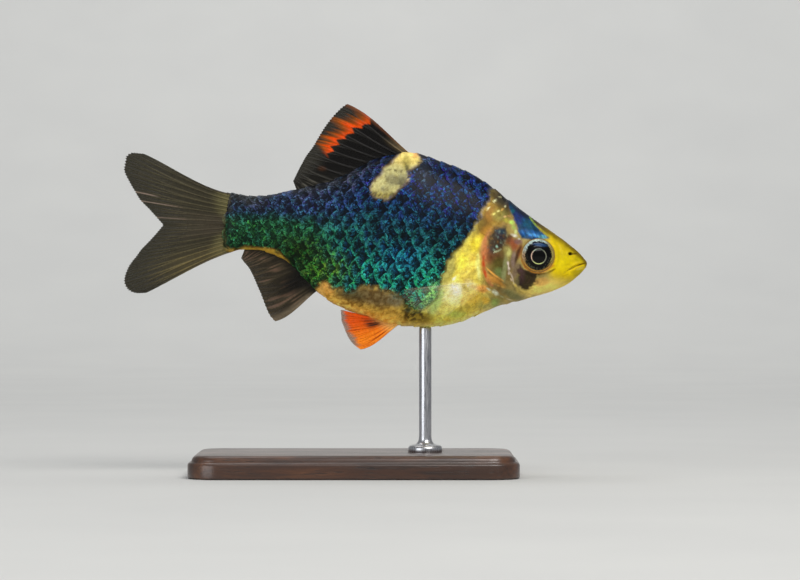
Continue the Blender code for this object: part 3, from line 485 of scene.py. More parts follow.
# Lines of paint: colour, points, half width and strength
HEAD_LINES = [
    ((206, 204, 116), [(32.3, -0.4), (32.45, -1.8), (32.7, -2.8), (32.9, -3.5)], 0.42, 0.9),
    ((248, 246, 150), [(32.5, -2.0), (32.7, -2.7), (32.8, -3.2)], 0.28, 0.9),
    ((184, 116, 78), [(33.0, 2.0), (33.05, 0.4), (33.1, -1.0), (33.3, -2.3), (33.8, -3.3), (34.6, -4.1)], 0.55, 0.65),
    ((176, 58, 38), [(33.08, -0.5), (33.1, -1.4), (33.25, -2.2), (33.7, -3.2)], 0.3, 0.85),
    ((236, 172, 90), [(33.6, -2.0), (34.8, -2.8), (36.0, -3.4)], 0.16, 0.95),
    ((198, 160, 86), [(34.4, -3.8), (35.3, -4.05), (36.3, -4.2)], 0.16, 0.7),
    ((228, 202, 112), [(37.2, -3.4), (38.1, -4.4), (39.8, -4.9)], 0.34, 0.85),
    ((246, 230, 212), [(36.3, -0.8), (36.4, -1.9), (36.95, -2.6), (37.35, -3.6)], 0.15, 0.55),
    ((206, 216, 176), [(34.3, 0.1), (34.8, 0.35), (35.2, 0.65)], 0.14, 0.9),
    ((168, 92, 36), [(38.0, -0.5), (38.6, -1.3), (39.5, -1.72), (40.3, -1.74)], 0.26, 0.9),
    ((236, 172, 60), [(39.4, -1.7), (40.3, -1.74), (41.3, -1.35), (42.2, -0.6)], 0.24, 0.95),
    # Painted shadow under the gold arc below the eye
    ((108, 82, 22), [(40.4, -2.0), (41.5, -1.68), (42.4, -1.05)], 0.2, 0.8),
    ((196, 164, 34), [(43.4, -1.9), (44.2, -1.5)], 0.16, 0.6),
    ((200, 170, 34), [(43.6, -0.4), (44.2, -0.25)], 0.16, 0.5),
    ((246, 224, 104), [(46.0, -0.4), (45.2, -0.85)], 0.22, 0.8),
    # Painted shade in the mouth slit
    ((104, 74, 12), [(46.4, 0.22), (45.6, -0.14), (44.8, -0.58)], 0.13, 0.9),
    ((140, 114, 20), [(45.0, -0.5), (44.4, -0.85), (43.9, -1.15)], 0.13, 0.7),
    ((150, 182, 76), [(38.4, 5.2), (39.0, 4.5), (39.6, 3.95)], 0.2, 0.85),
    ((188, 184, 66), [(39.5, 4.1), (40.3, 3.5), (41.2, 2.95)], 0.22, 0.8),
]
# Painted highlights where light catches the head, throat and belly: colour, middle, reach and turn
PAINTED_GLINTS = [
    ((246, 250, 196), (33.7, 6.7), (0.34, 0.11), 45),
    ((255, 252, 186), (33.0, 5.6), (0.2, 0.15), 30),
    ((232, 240, 210), (32.3, 6.4), (0.26, 0.1), 10),
    ((212, 210, 166), (34.4, 7.3), (0.15, 0.14), 0),
    ((244, 240, 190), (35.1, 6.1), (0.2, 0.13), 60),
    ((238, 184, 104), (34.8, 5.7), (0.3, 0.1), 45),
    ((242, 228, 150), (34.3, 5.5), (0.2, 0.12), 0),
    ((238, 222, 130), (33.8, 5.1), (0.26, 0.1), 20),
    ((244, 200, 136), (35.2, 4.8), (0.24, 0.12), 20),
    ((222, 160, 110), (35.7, 4.95), (0.24, 0.1), -10),
    ((178, 168, 62), (35.5, 4.3), (0.5, 0.36), 0),
    ((196, 240, 112), (36.2, 4.2), (0.36, 0.3), -20),
    ((176, 200, 104), (36.5, 3.6), (0.3, 0.34), 0),
    ((214, 232, 150), (36.8, 3.05), (0.24, 0.36), 0),
    ((255, 255, 244), (36.65, 2.58), (0.46, 0.2), -10),
    ((255, 236, 226), (36.25, -1.1), (0.26, 0.14), -70),
    ((250, 232, 216), (36.5, -1.7), (0.24, 0.13), -60),
    ((244, 226, 206), (36.5, -2.3), (0.2, 0.12), -80),
    ((238, 214, 180), (36.95, -3.1), (0.24, 0.12), -50),
    ((216, 212, 196), (37.35, 2.2), (0.17, 0.13), 0),
    ((172, 220, 196), (34.6, 0.85), (0.17, 0.17), 0),
    ((236, 236, 222), (29.6, -3.8), (0.34, 0.13), 35),
    ((240, 250, 214), (34.2, -4.62), (0.32, 0.12), -24),
    ((248, 255, 226), (35.15, -4.98), (0.52, 0.26), -26),
    ((208, 210, 156), (36.0, -5.4), (0.34, 0.11), -20),
    ((222, 208, 158), (37.0, -5.62), (0.42, 0.1), -8),
    ((250, 240, 170), (31.2, -2.9), (0.16, 0.12), 0),
    ((250, 236, 200), (31.6, -4.6), (0.24, 0.1), -40),
]
NAPE_OUTLINE = [(35.2, 8.0), (35.6, 6.4), (35.8, 5.7), (36.3, 5.0), (36.7, 4.2), (37.2, 3.1), (37.7, 2.35),
                (39.0, 2.3), (40.5, 2.6), (41.1, 2.8), (40.2, 3.4), (39.4, 4.0), (38.6, 5.0), (37.7, 6.2),
                (36.6, 8.0)]
BLOTCH_OUTLINE = [(34.1, 3.3), (35.5, 3.2), (36.0, 2.3), (35.6, 1.2), (35.0, 0.5), (34.3, -0.05), (33.6, 0.1),
                  (33.4, 1.3), (33.6, 2.3)]
CHEEK_OUTLINE = [(37.75, -1.1), (38.8, -1.65), (39.8, -1.75), (41.0, -1.45), (40.7, -1.9), (40.2, -2.5), (40.1, -3.1),
                 (39.6, -3.75), (39.2, -4.2), (38.5, -4.2), (37.95, -3.7), (37.9, -2.8), (37.6, -2.0)]


def blue_of_nape(x, z, noise):
    """The steel-blue shield between the back of the head and the eye."""
    blue = np.tile(srgb(36, 82, 124), (len(x), 1))
    blue = lay(blue, srgb(46, 62, 124), blob(x, z, (36.9, 5.0), (0.9, 1.6), -30, 0.6))
    blue = lay(blue, srgb(40, 108, 130), blob(x, z, (36.1, 5.6), (0.4, 0.25), 50))
    blue = lay(blue, srgb(42, 98, 134), blob(x, z, (38.4, 4.3), (0.9, 0.6), -30) * 0.8)
    blue = lay(blue, srgb(64, 122, 200), blob(x, z, (38.6, 3.05), (1.6, 0.42), -4, 0.6))
    blue = lay(blue, srgb(92, 164, 236), stroke(x, z, [(38.2, 3.05), (39.0, 2.95), (39.9, 2.85)], 0.26))
    blue = lay(blue, srgb(98, 164, 188), blob(x, z, (40.4, 2.8), (0.7, 0.3), 12))
    streaks = lumps(np.stack([x * 0.5 + z * 0.8, z * 0.2, x * 2.6 + z * 1.6], axis=1), 0.5, 14)
    return blue * (0.25 + 0.6 * noise + 0.9 * streaks)[:, None]


def light_colours(points, noise, fine):
    """Glitter and ground of the head, the belly and the band between flank and head, with painted highlights, shade and
    light laid in.
    """
    x, z = points[:, 0], points[:, 2]
    back, belly, _, _, _, _ = girth(x)
    skin = np.tile(srgb(186, 166, 100), (len(x), 1))
    skin = lay(skin, srgb(196, 182, 84), ramp(36, 32, x))
    skin = lay(skin, srgb(204, 168, 84), ramp(26, 22, x))
    skin = lay(skin, srgb(232, 190, 92), ramp(12, 9, x))
    skin = lay(skin, srgb(112, 102, 66), ramp(1.4, -0.2, x))
    skin = lay(skin, srgb(216, 190, 84), ramp(40.6, 42.6, x + 0.2 * z))
    skin = lay(skin, srgb(242, 212, 56), ramp(40.6, 42.4, x + 0.2 * z) * ramp(-2.9, -1.4, z))
    for colour, centre, reach, turn, strength in BELLY_SPOTS + BAND_SPOTS + COVER_SPOTS:
        wander = 0.5 * (noise - 0.5)
        skin = lay(skin, srgb(*colour), blob(x + wander, z + wander, centre, reach, turn, 0.5) * strength)
    body = ramp(37, 35, x) * ramp(1, 3, x)
    warm, cool = lumps(points, 0.8, 11), lumps(points, 0.5, 12)
    skin = lay(skin, skin * (1.25, 1.22, 1.3), ramp(0.6, 0.8, warm) * body * 0.7)
    skin = lay(skin, skin * (0.66, 0.6, 0.5), ramp(0.58, 0.8, cool) * body * 0.6)
    skin = lay(skin, srgb(255, 232, 60), blob(x, z, (43.2, 0.1), (1.3, 1.2), 0, 0.8) * 0.9)
    skin = lay(skin, srgb(206, 160, 92), blob(x, z, (40.8, -2.9), (1.0, 0.5), 15) * 0.8)
    skin = lay(skin, srgb(190, 176, 36), blob(x, z, (45.3, 0.6), (0.6, 0.4)) * 0.7)
    skin = lay(skin, srgb(186, 168, 42), blob(x, z, (45.4, -1.2), (0.8, 0.4), 20) * 0.6)
    top = ramp(1.1, 0.2, back - z + 0.6 * (noise - 0.5))
    # Painted shade along the top outline of the head in front of the eye
    skin = lay(skin, srgb(96, 78, 18), top * ramp(38, 40, x) * 0.8)
    skin = lay(skin, srgb(46, 44, 34), top * ramp(41.5, 39, x) * ramp(34, 36, x) * 0.9)
    skin = lay(skin, srgb(44, 40, 34), ramp(2.6, 1.0, back - z) * ramp(36.6, 35.2, x) * ramp(31, 33, x) * 0.85)
    shield = inside(x + 0.4 * (fine - 0.5), z, NAPE_OUTLINE, 0.16)
    skin = lay(skin, srgb(74, 60, 74), inside(x, z, NAPE_OUTLINE, 0.45) * 0.7)
    skin = skin + (blue_of_nape(x, z, noise) - skin) * shield[:, None]
    skin = lay(skin, srgb(26, 30, 34), ramp(1.1, 0.3, back - z) * ramp(40, 38, x) * ramp(33.5, 35, x) * 0.8)
    blotch = inside(x + 1.1 * (fine - 0.5), z + 0.9 * (noise - 0.5), BLOTCH_OUTLINE, 0.46)
    skin = lay(skin, srgb(50, 48, 46), blotch * 0.9)
    skin = lay(skin, srgb(38, 66, 84), blotch * blob(x, z, (35.0, 2.9), (0.8, 0.4), -10, 0.7) * 0.7)
    skin = lay(skin, srgb(50, 42, 64), blotch * blob(x, z, (34.9, 2.2), (0.6, 0.4), -20, 0.7) * 0.5)
    skin = lay(skin, srgb(64, 50, 38), blotch * blob(x, z, (34.5, 1.4), (0.9, 0.5), 0, 0.7) * 0.7)
    skin = lay(skin, srgb(128, 150, 134), blotch * ramp(0.6, 0.8, fine) * 0.75)
    skin = lay(skin, srgb(124, 92, 54), blotch * ramp(0.4, 0.2, fine) * 0.6)
    cheek = inside(x + 0.9 * (fine - 0.5), z + 0.8 * (noise - 0.5), CHEEK_OUTLINE, 0.24)
    skin = lay(skin, srgb(34, 25, 21), cheek * (0.9 + 0.1 * fine))
    skin = lay(skin, srgb(96, 70, 72), cheek * blob(x, z, (38.0, -1.7), (0.5, 1.5), 10, 0.7) * (0.3 + 0.7 * fine))
    skin = lay(skin, srgb(78, 60, 42), cheek * ramp(0.62, 0.85, fine) * 0.7)
    for colour, points_on, width, strength in HEAD_LINES:
        broken = np.clip(0.1 + 1.4 * fine, 0, 1)
        skin = lay(skin, srgb(*colour), stroke(x + 0.12 * (noise - 0.5), z, points_on, width) * strength * broken)
    # Painted highlights laid over the skin colour
    for colour, centre, reach, turn in PAINTED_GLINTS:
        glint_mask = blob(x + 0.16 * (fine - 0.5), z + 0.16 * (noise - 0.5), centre, np.multiply(reach, 0.85), turn, 0.6)
        skin = lay(skin, srgb(*colour), glint_mask * np.clip(0.25 + 1.0 * fine, 0, 1))
    # Painted shade in the nostril pit and along its slit
    pit = np.hypot((x - NOSTRIL[0]) / 1.15, (z - NOSTRIL[1]) / 0.95)
    skin = lay(skin, srgb(52, 40, 10), ramp(0.32, 0.14, pit + 0.1 * (fine - 0.5)))
    skin = lay(skin, srgb(106, 88, 26), stroke(x, z, NOSTRIL_SLIT, 0.18) * 0.8)
    orbit = np.hypot(x - EYE_X, z - EYE_Z)
    low = ramp(EYE_Z + 0.9, EYE_Z - 0.9, z)
    skin = lay(skin, srgb(170, 118, 56), ramp(2.45, 2.2, orbit) * 0.6 * low)
    skin = lay(skin, srgb(104, 96, 66), ramp(2.18, 2.06, orbit) * (1 - 0.7 * low))
    speckled = blob(x, z, (25.0, -8.9), (1.9, 1.1), 0, 0.6) * ramp(0.40, 0.6, fine)
    skin = lay(skin, srgb(58, 48, 30), speckled * 0.9)
    mottled = ramp(24.5, 21, x) * ramp(-9.9, -8.2, z) * ramp(13, 16, x) * ramp(0.4, 0.7, fine)
    skin = lay(skin, srgb(92, 78, 50), mottled * 0.6)
    gold = ramp(9.3, 8.5, x) * ramp(2.0, 3.2, x) * ramp(1.3, 0.8, z - belly)
    skin = lay(skin, srgb(232, 186, 84), gold)
    # Painted light: the keel faces down into shade, so its colour is made paler
    keel_light = ramp(1.6, 0.2, z - belly) * ramp(13, 15, x) * ramp(38, 35, x)
    skin = lay(skin, skin * (1.45, 1.4, 1.4), keel_light * (1 + 0.5 * ramp(26, 23, x)))
    skin = lay(skin, srgb(252, 220, 140), ramp(0.9, 0.1, z - belly) * ramp(14, 17, x) * ramp(36, 33, x) * 0.5)
    # Painted light: the belly and the chin face down, so their colour is made paler
    belly_painted_light = 0.64 * ramp(36, 33, x) * ramp(24, 27, x)
    chin_painted_light = 0.5 * ramp(-1.8, -3.4, z) * ramp(38, 40, x)
    rear = ramp(26.5, 23.5, x) * ramp(10, 13, x)
    skin = lay(skin, skin * (0.78, 0.62, 0.44), ramp(0.48, 0.68, fine) * rear * 0.75)
    skin = skin * (1 + belly_painted_light + chin_painted_light + 0.24 * rear)[:, None]
    skin = skin * (1 - 0.16 * ramp(41.5, 43, x) * ramp(-1.5, 0.5, z))[:, None]
    grain = 0.26 - 0.16 * ramp(40.2, 41.6, x) - 0.4 * rear
    return skin * (0.87 + 0.32 * (noise - 0.4) + grain * (fine - 0.5))[:, None]


PATCH_SPOTS = [((22.15, 9.3), (0.24, 0.9)), ((21.75, 7.5), (0.5, 0.75)), ((20.6, 5.8), (0.5, 0.4))]


def patch_colours(x, z, noise, fine):
    """The cream saddle in front of the dorsal fin."""
    cream = np.tile(srgb(186, 180, 126), (len(x), 1))
    cream = lay(cream, srgb(238, 216, 130), ramp(9.6, 11.2, z + 0.8 * noise))
    cream = lay(cream, srgb(170, 156, 80), ramp(6.8, 5.2, z))
    cream = lay(cream, srgb(172, 158, 88), blob(x, z, (21.9, 10.3), (0.5, 1.2), 10))
    for spot, reach in PATCH_SPOTS:
        cream = lay(cream, srgb(96, 92, 56), blob(x, z, spot, reach, 20, 0.3) * 0.9)
    cream = lay(cream, srgb(240, 176, 104), blob(x, z, (22.9, 11.7), (0.7, 0.6)) * 0.7)
    cream = lay(cream, srgb(104, 96, 66), ramp(0.56, 0.8, fine) * ramp(11.5, 8.5, z))
    cream = lay(cream, srgb(120, 116, 92), ramp(0.5, 0.3, noise) * ramp(10.5, 8.5, z) * 0.6)
    return cream * (0.9 + 0.46 * noise)[:, None]


def coat_colours(points):
    """Glitter, ground, strength of glitter and metal at places of the skin or of the scales."""
    x, z = points[:, 0], points[:, 2]
    noise = 0.6 * lumps(points, 1.3, 1) + 0.4 * lumps(points, 0.6, 2)
    fine = 0.6 * lumps(points, 0.35, 5) + 0.4 * lumps(points, 0.2, 6)
    ragged = 1.1 * (noise - 0.5) + 0.8 * (fine - 0.5)
    dark = inside(x + ragged, z + 0.7 * ragged, DARK_OUTLINE, 0.34)
    dark = dark * (0.25 + 0.75 * ramp(-0.75, 0.15, x + 0.9 * ragged))
    patch = inside(x + ragged, z + 0.9 * ragged, CREAM_PATCH, 0.3)
    light = light_colours(points, noise, fine)
    flank_pale, flank_deep, strength = flank_colours(x, z, noise)
    light = light + (patch_colours(x, z, noise, fine) - light) * patch[:, None]
    dark = dark * (1 - patch)
    pale = light + (flank_pale - light) * dark[:, None]
    ground = light * np.array([0.62, 0.56, 0.42])
    deep = ground + (flank_deep - ground) * dark[:, None]
    smooth = np.maximum(ramp(40.2, 41.6, x), 0.6 * ramp(30.5, 33.0, x + 0.45 * z))
    shiny = 0.10 * (1 - smooth) + 0.2 * inside(x, z, NAPE_OUTLINE, 0.3)
    glitter = shiny + (strength - shiny) * dark
    metal = 0.04 + 0.24 * dark
    return np.clip(pale, 0, 1), np.clip(deep, 0, 1), glitter, metal, dark


def dress(mesh, points, rim, hue=0.0):
    """Stores the markings of a piece of skin or coat on its mesh."""
    pale, deep, glitter, metal, dark = coat_colours(points)
    hue = np.broadcast_to(hue, len(points))[:, None]
    x, z = points[:, 0], points[:, 2]
    heart = ramp(0.8, 0.4, rim) * dark * ramp(11, 16, x) * (0.45 + 0.3 * blob(x, z, (19.0, -2.6), (5.5, 3.0), 0, 0.6))
    pale = lay(pale, srgb(44, 92, 156), heart)
    rim = rim + (0.5 - rim) * 0.42 * ramp(12, 4, x)
    store_colour(mesh, "pale", np.clip(pale * (1 + 0.14 * hue), 0, 1), glitter)
    store_colour(mesh, "deep", np.clip(deep * (1 + 0.1 * hue), 0, 1), metal)
    store_number(mesh, "rim", rim * (0.15 + 0.85 * dark))


# Materials


class Nodes:
    """A short way to write a material's node tree."""

    def __init__(self, name, **settings):
        self.material = bpy.data.materials.new(name)
        self.material.use_nodes = True
        self.tree = self.material.node_tree
        self.shader = self.tree.nodes["Principled BSDF"]
        for socket, value in settings.items():
            self.shader.inputs[socket.replace("_", " ")].default_value = value

    def add(self, kind, inputs=None, **properties):
        node = self.tree.nodes.new("ShaderNode" + kind)
        for name, value in properties.items():
            setattr(node, name, value)
        for name, value in (inputs or {}).items():
            if isinstance(value, bpy.types.NodeSocket):
                self.tree.links.new(value, node.inputs[name])
            else:
                node.inputs[name].default_value = value
        return node

    def set(self, socket, value):
        self.tree.links.new(value, self.shader.inputs[socket])

    def math(self, operation, a, b=0.0, clamp=False):
        return self.add("Math", {0: a, 1: b}, operation=operation, use_clamp=clamp).outputs[0]

    def spread(self, value, low, high, to_low=0.0, to_high=1.0):
        """A value from one range moved to another."""
        inputs = {"Value": value, "From Min": low, "From Max": high, "To Min": to_low, "To Max": to_high}
        return self.add("MapRange", inputs).outputs["Result"]

    def mix(self, share, a, b, blend="MIX"):
        node = self.add("Mix", data_type="RGBA", blend_type=blend)
        sockets = [s for s in node.inputs if s.enabled]
        for socket, value in zip(sockets, (share, a, b)):
            if isinstance(value, bpy.types.NodeSocket):
                self.tree.links.new(value, socket)
            else:
                socket.default_value = value
        return next(s for s in node.outputs if s.enabled)

    def place(self, scale):
        coordinates = self.add("TexCoord").outputs["Object"]
        return self.add("Mapping", {"Vector": coordinates, "Scale": scale}).outputs["Vector"]


def skin_material():
    """Flesh and scales: glitter over a ground colour, both painted on the mesh, with painted highlight specks on the
    dark flank.
    """
    nodes = Nodes("fish_skin", Coat_Weight=0.05, Coat_Roughness=0.2)
    nodes.shader.inputs["Specular IOR Level"].default_value = 0.07
    pale = nodes.add("Attribute", attribute_name="pale")
    deep = nodes.add("Attribute", attribute_name="deep")
    rim = nodes.add("Attribute", attribute_name="rim").outputs["Fac"]
    where = nodes.place((1000.0, 1000.0, 1000.0))
    wobble = nodes.add("TexNoise", {"Vector": where, "Scale": 1.6, "Detail": 1.0}).outputs["Color"]
    bent = nodes.add("VectorMath", {0: where, 1: wobble}, operation="ADD").outputs["Vector"]
    flakes = nodes.add("TexVoronoi", {"Vector": bent, "Scale": 2.7}, feature="F1")
    crumbs = nodes.add("TexVoronoi", {"Vector": bent, "Scale": 5.0}, feature="F1")
    flake = nodes.add("SeparateColor", {"Color": flakes.outputs["Color"]})
    crumb = nodes.add("SeparateColor", {"Color": crumbs.outputs["Color"]})
    grain = nodes.add("TexNoise", {"Vector": where, "Scale": 4.2, "Detail": 3.0, "Roughness": 0.65}).outputs["Fac"]
    clouds = nodes.add("TexNoise", {"Vector": where, "Scale": 0.9, "Detail": 1.0}).outputs["Fac"]
    large = nodes.spread(flake.outputs[0], 0.5, 0.95, 0.0, 0.9)
    small = nodes.math("MULTIPLY", nodes.math("POWER", crumb.outputs[0], 4.0), 1.6)
    spark = nodes.math("ADD", large, small)
    spark = nodes.math("MULTIPLY", spark, nodes.spread(grain, 0.38, 0.60, 0.1, 1.3))
    spark = nodes.math("MULTIPLY", spark, nodes.spread(clouds, 0.34, 0.66, 0.5, 1.35))
    strength = pale.outputs["Alpha"]
    field = nodes.spread(rim, 0.25, 0.85, 0.07, 1.3)
    inner = nodes.math("MULTIPLY", nodes.math("MULTIPLY", spark, strength), field)
    bright = nodes.math("ADD", nodes.math("MULTIPLY", spark, 0.7), 0.26)
    edge = nodes.math("MULTIPLY", nodes.spread(rim, 0.66, 0.92), bright)
    edge = nodes.math("MULTIPLY", edge, nodes.spread(strength, 0.1, 1.0, 0.45, 0.9))
    lit = nodes.math("ADD", inner, edge)
    is_dark = nodes.spread(strength, 0.15, 0.4)
    mottle = nodes.add("TexNoise", {"Vector": where, "Scale": 2.1, "Detail": 4.0, "Roughness": 0.7}).outputs["Fac"]
    twinkle = nodes.math("MULTIPLY", nodes.math("POWER", crumb.outputs[0], 6.0), 0.4)
    mottled = nodes.math("ADD", nodes.spread(mottle, 0.3, 0.66, -0.1, 1.15), twinkle)
    gap = nodes.math("SUBTRACT", mottled, 0.72)
    steady = nodes.math("ADD", nodes.math("MULTIPLY", gap, nodes.spread(strength, 0.0, 0.1, 0.3, 1.0)), 0.72)
    gap = nodes.math("SUBTRACT", lit, steady)
    share = nodes.math("ADD", steady, nodes.math("MULTIPLY", gap, is_dark), clamp=True)
    turn = nodes.spread(flake.outputs[1], 0.0, 1.0, 0.46, 0.54)
    hue = nodes.math("ADD", nodes.math("MULTIPLY", nodes.math("SUBTRACT", turn, 0.5), is_dark), 0.5)
    varied = nodes.add("HueSaturation", {"Hue": hue, "Saturation": 1.05, "Color": pale.outputs["Color"]})
    colour = nodes.mix(share, deep.outputs["Color"], varied.outputs["Color"])
    # Painted highlights: rare bright specks on the dark flank, the pale colour made nearly twice as bright
    sparkle_colour = nodes.mix(1.0, varied.outputs["Color"], (1.9, 1.9, 1.8, 1.0), "MULTIPLY")
    painted_sparkle = nodes.math("MULTIPLY", nodes.spread(crumb.outputs[1], 0.86, 0.97, 0.0, 0.75), is_dark)
    painted_sparkle = nodes.math("MULTIPLY", painted_sparkle, nodes.spread(rim, 0.2, 0.6, 0.15, 1.0))
    painted_sparkle = nodes.math("MULTIPLY", painted_sparkle, nodes.spread(clouds, 0.4, 0.6))
    colour = nodes.mix(painted_sparkle, colour, sparkle_colour)
    nodes.set("Base Color", colour)
    nodes.set("Metallic", nodes.math("MULTIPLY", deep.outputs["Alpha"], share))
    nodes.set("Roughness", nodes.spread(grain, 0.2, 0.8, 0.34, 0.52))
    height = nodes.math("ADD", nodes.math("MULTIPLY", crumb.outputs[0], 0.35), grain)
    bump = nodes.add("Bump", {"Strength": 0.3, "Distance": 0.00005, "Height": height})
    nodes.set("Normal", bump.outputs["Normal"])
    return nodes.material


def fin_material(name, roughness=0.45):
    """A membrane whose colour and thinness are painted on the mesh, with joints across its rays."""
    nodes = Nodes(name, Roughness=roughness, Coat_Weight=0.03, Coat_Roughness=0.25)
    nodes.shader.inputs["Specular IOR Level"].default_value = 0.1
    tint = nodes.add("Attribute", attribute_name="tint")
    ray = nodes.add("Attribute", attribute_name="ray").outputs["Fac"]
    along = nodes.add("Attribute", attribute_name="along").outputs["Fac"]
    where = nodes.place((1000.0, 1000.0, 1000.0))
    grain = nodes.add("TexNoise", {"Vector": where, "Scale": 3.0, "Detail": 3.0}).outputs["Fac"]
    slide = nodes.add("TexNoise", {"Vector": where, "Scale": 1.3, "Detail": 0.0}).outputs["Fac"]
    phase = nodes.math("ADD", nodes.math("MULTIPLY", along, JOINTS_PER_MM * 2 * math.pi), nodes.math("MULTIPLY", slide, 14.0))
    wave = nodes.math("SINE", phase)
    joint = nodes.math("MULTIPLY", nodes.spread(wave, 0.55, 0.95, 0.0, 0.26), ray)
    shade = nodes.math("SUBTRACT", nodes.spread(grain, 0.25, 0.75, 0.82, 1.15), joint)
    grey = nodes.add("CombineColor", {0: shade, 1: shade, 2: shade}).outputs["Color"]
    nodes.set("Base Color", nodes.mix(1.0, tint.outputs["Color"], grey, "MULTIPLY"))
    nodes.set("Alpha", tint.outputs["Alpha"])
    height = nodes.math("SUBTRACT", grain, joint)
    bump = nodes.add("Bump", {"Strength": 0.25, "Distance": 0.00003, "Height": height})
    nodes.set("Normal", bump.outputs["Normal"])
    return nodes.material


def eye_material():
    nodes = Nodes("fish_eye", Roughness=0.3, Coat_Weight=0.2, Coat_Roughness=0.03)
    nodes.shader.inputs["Specular IOR Level"].default_value = 0.06
    tint = nodes.add("Attribute", attribute_name="tint")
    where = nodes.place((1000.0, 1000.0, 1000.0))
    grain = nodes.add("TexNoise", {"Vector": where, "Scale": 6.0, "Detail": 4.0}).outputs["Fac"]
    shade = nodes.spread(grain, 0.25, 0.75, 0.72, 1.2)
    grey = nodes.add("CombineColor", {0: shade, 1: shade, 2: shade}).outputs["Color"]
    nodes.set("Base Color", nodes.mix(1.0, tint.outputs["Color"], grey, "MULTIPLY"))
    nodes.set("Metallic", tint.outputs["Alpha"])
    return nodes.material


def wood_material():
    nodes = Nodes("dark_wood", Roughness=0.35, Coat_Weight=0.35, Coat_Roughness=0.18)
    where = nodes.place((60.0, 420.0, 420.0))
    bend = nodes.add("TexNoise", {"Vector": where, "Scale": 0.7, "Detail": 2.0}).outputs["Color"]
    bent = nodes.add("VectorMath", {0: where, 1: bend}, operation="ADD").outputs["Vector"]
    grain = nodes.add("TexNoise", {"Vector": bent, "Scale": 1.0, "Detail": 8.0, "Roughness": 0.65}).outputs["Fac"]
    pores_at = nodes.place((500.0, 5200.0, 5200.0))
    pores = nodes.add("TexNoise", {"Vector": pores_at, "Scale": 1.0, "Detail": 2.0}).outputs["Fac"]
    colours = nodes.add("ValToRGB", {"Fac": grain})
    ramp_points = colours.color_ramp.elements
    ramp_points[0].position, ramp_points[0].color = 0.32, (*srgb(38, 22, 14), 1.0)
    ramp_points[1].position, ramp_points[1].color = 0.68, (*srgb(98, 62, 38), 1.0)
    middle = ramp_points.new(0.5)
    middle.color = (*srgb(66, 40, 25), 1.0)
    pore = nodes.spread(pores, 0.60, 0.68)
    nodes.set("Base Color", nodes.mix(nodes.math("MULTIPLY", pore, 0.6), colours.outputs["Color"], (*srgb(22, 13, 8), 1.0)))
    nodes.set("Roughness", nodes.spread(grain, 0.3, 0.7, 0.42, 0.3))
    height = nodes.math("SUBTRACT", nodes.math("MULTIPLY", grain, 0.4), pore)
    bump = nodes.add("Bump", {"Strength": 0.25, "Distance": 0.00006, "Height": height})
    nodes.set("Normal", bump.outputs["Normal"])
    return nodes.material


def steel_material():
    nodes = Nodes("brushed_steel", Metallic=1.0, Roughness=0.28)
    where = nodes.place((9000.0, 9000.0, 500.0))
    brush = nodes.add("TexNoise", {"Vector": where, "Scale": 1.0, "Detail": 3.0}).outputs["Fac"]
    tone = nodes.spread(brush, 0.3, 0.7)
    nodes.set("Base Color", nodes.mix(tone, (*srgb(168, 168, 172), 1.0), (*srgb(206, 206, 208), 1.0)))
    nodes.set("Roughness", nodes.spread(brush, 0.3, 0.7, 0.22, 0.38))
    bump = nodes.add("Bump", {"Strength": 0.1, "Distance": 0.00002, "Height": brush})
    nodes.set("Normal", bump.outputs["Normal"])
    return nodes.material


def floor_material():
    nodes = Nodes("studio_paper", Roughness=0.85)
    where = nodes.place((30.0, 30.0, 30.0))
    cloud = nodes.add("TexNoise", {"Vector": where, "Scale": 1.0, "Detail": 2.0}).outputs["Fac"]
    nodes.set("Base Color", nodes.mix(cloud, (*srgb(190, 190, 188), 1.0), (*srgb(198, 198, 195), 1.0)))
    return nodes.material


# Skin and scales


def grid_faces(rows, columns, wrap=False):
    """Quads between neighbouring places of a grid whose rows follow each other."""
    i = np.arange(rows - 1)[:, None]
    j = np.arange(columns if wrap else columns - 1)[None, :]
    k = (j + 1) % columns
    corners = [i * columns + j, i * columns + k, (i + 1) * columns + k, (i + 1) * columns + j]
    return np.stack([np.broadcast_to(c, (rows - 1, j.size)).ravel() for c in corners], axis=1)


def make_skin(material):
    grid = skin_grid()
    rows, columns, _ = grid.shape
    tip = np.array([[STANDARD_LENGTH, 0.0, 0.05]])
    points = np.concatenate([grid.reshape(-1, 3), tip])
    faces = grid_faces(rows, columns, wrap=True).tolist()
    faces += [(rows * columns, (j + 1) % columns, j) for j in range(columns)]
    faces.append([(rows - 1) * columns + j for j in range(columns)])
    obj = fish_mesh("fish_skin", points, faces, material)
    noise = lumps(points, 0.5, 9)
    dress(obj.data, points, 0.25 * ramp(0.45, 0.8, noise))
    return obj


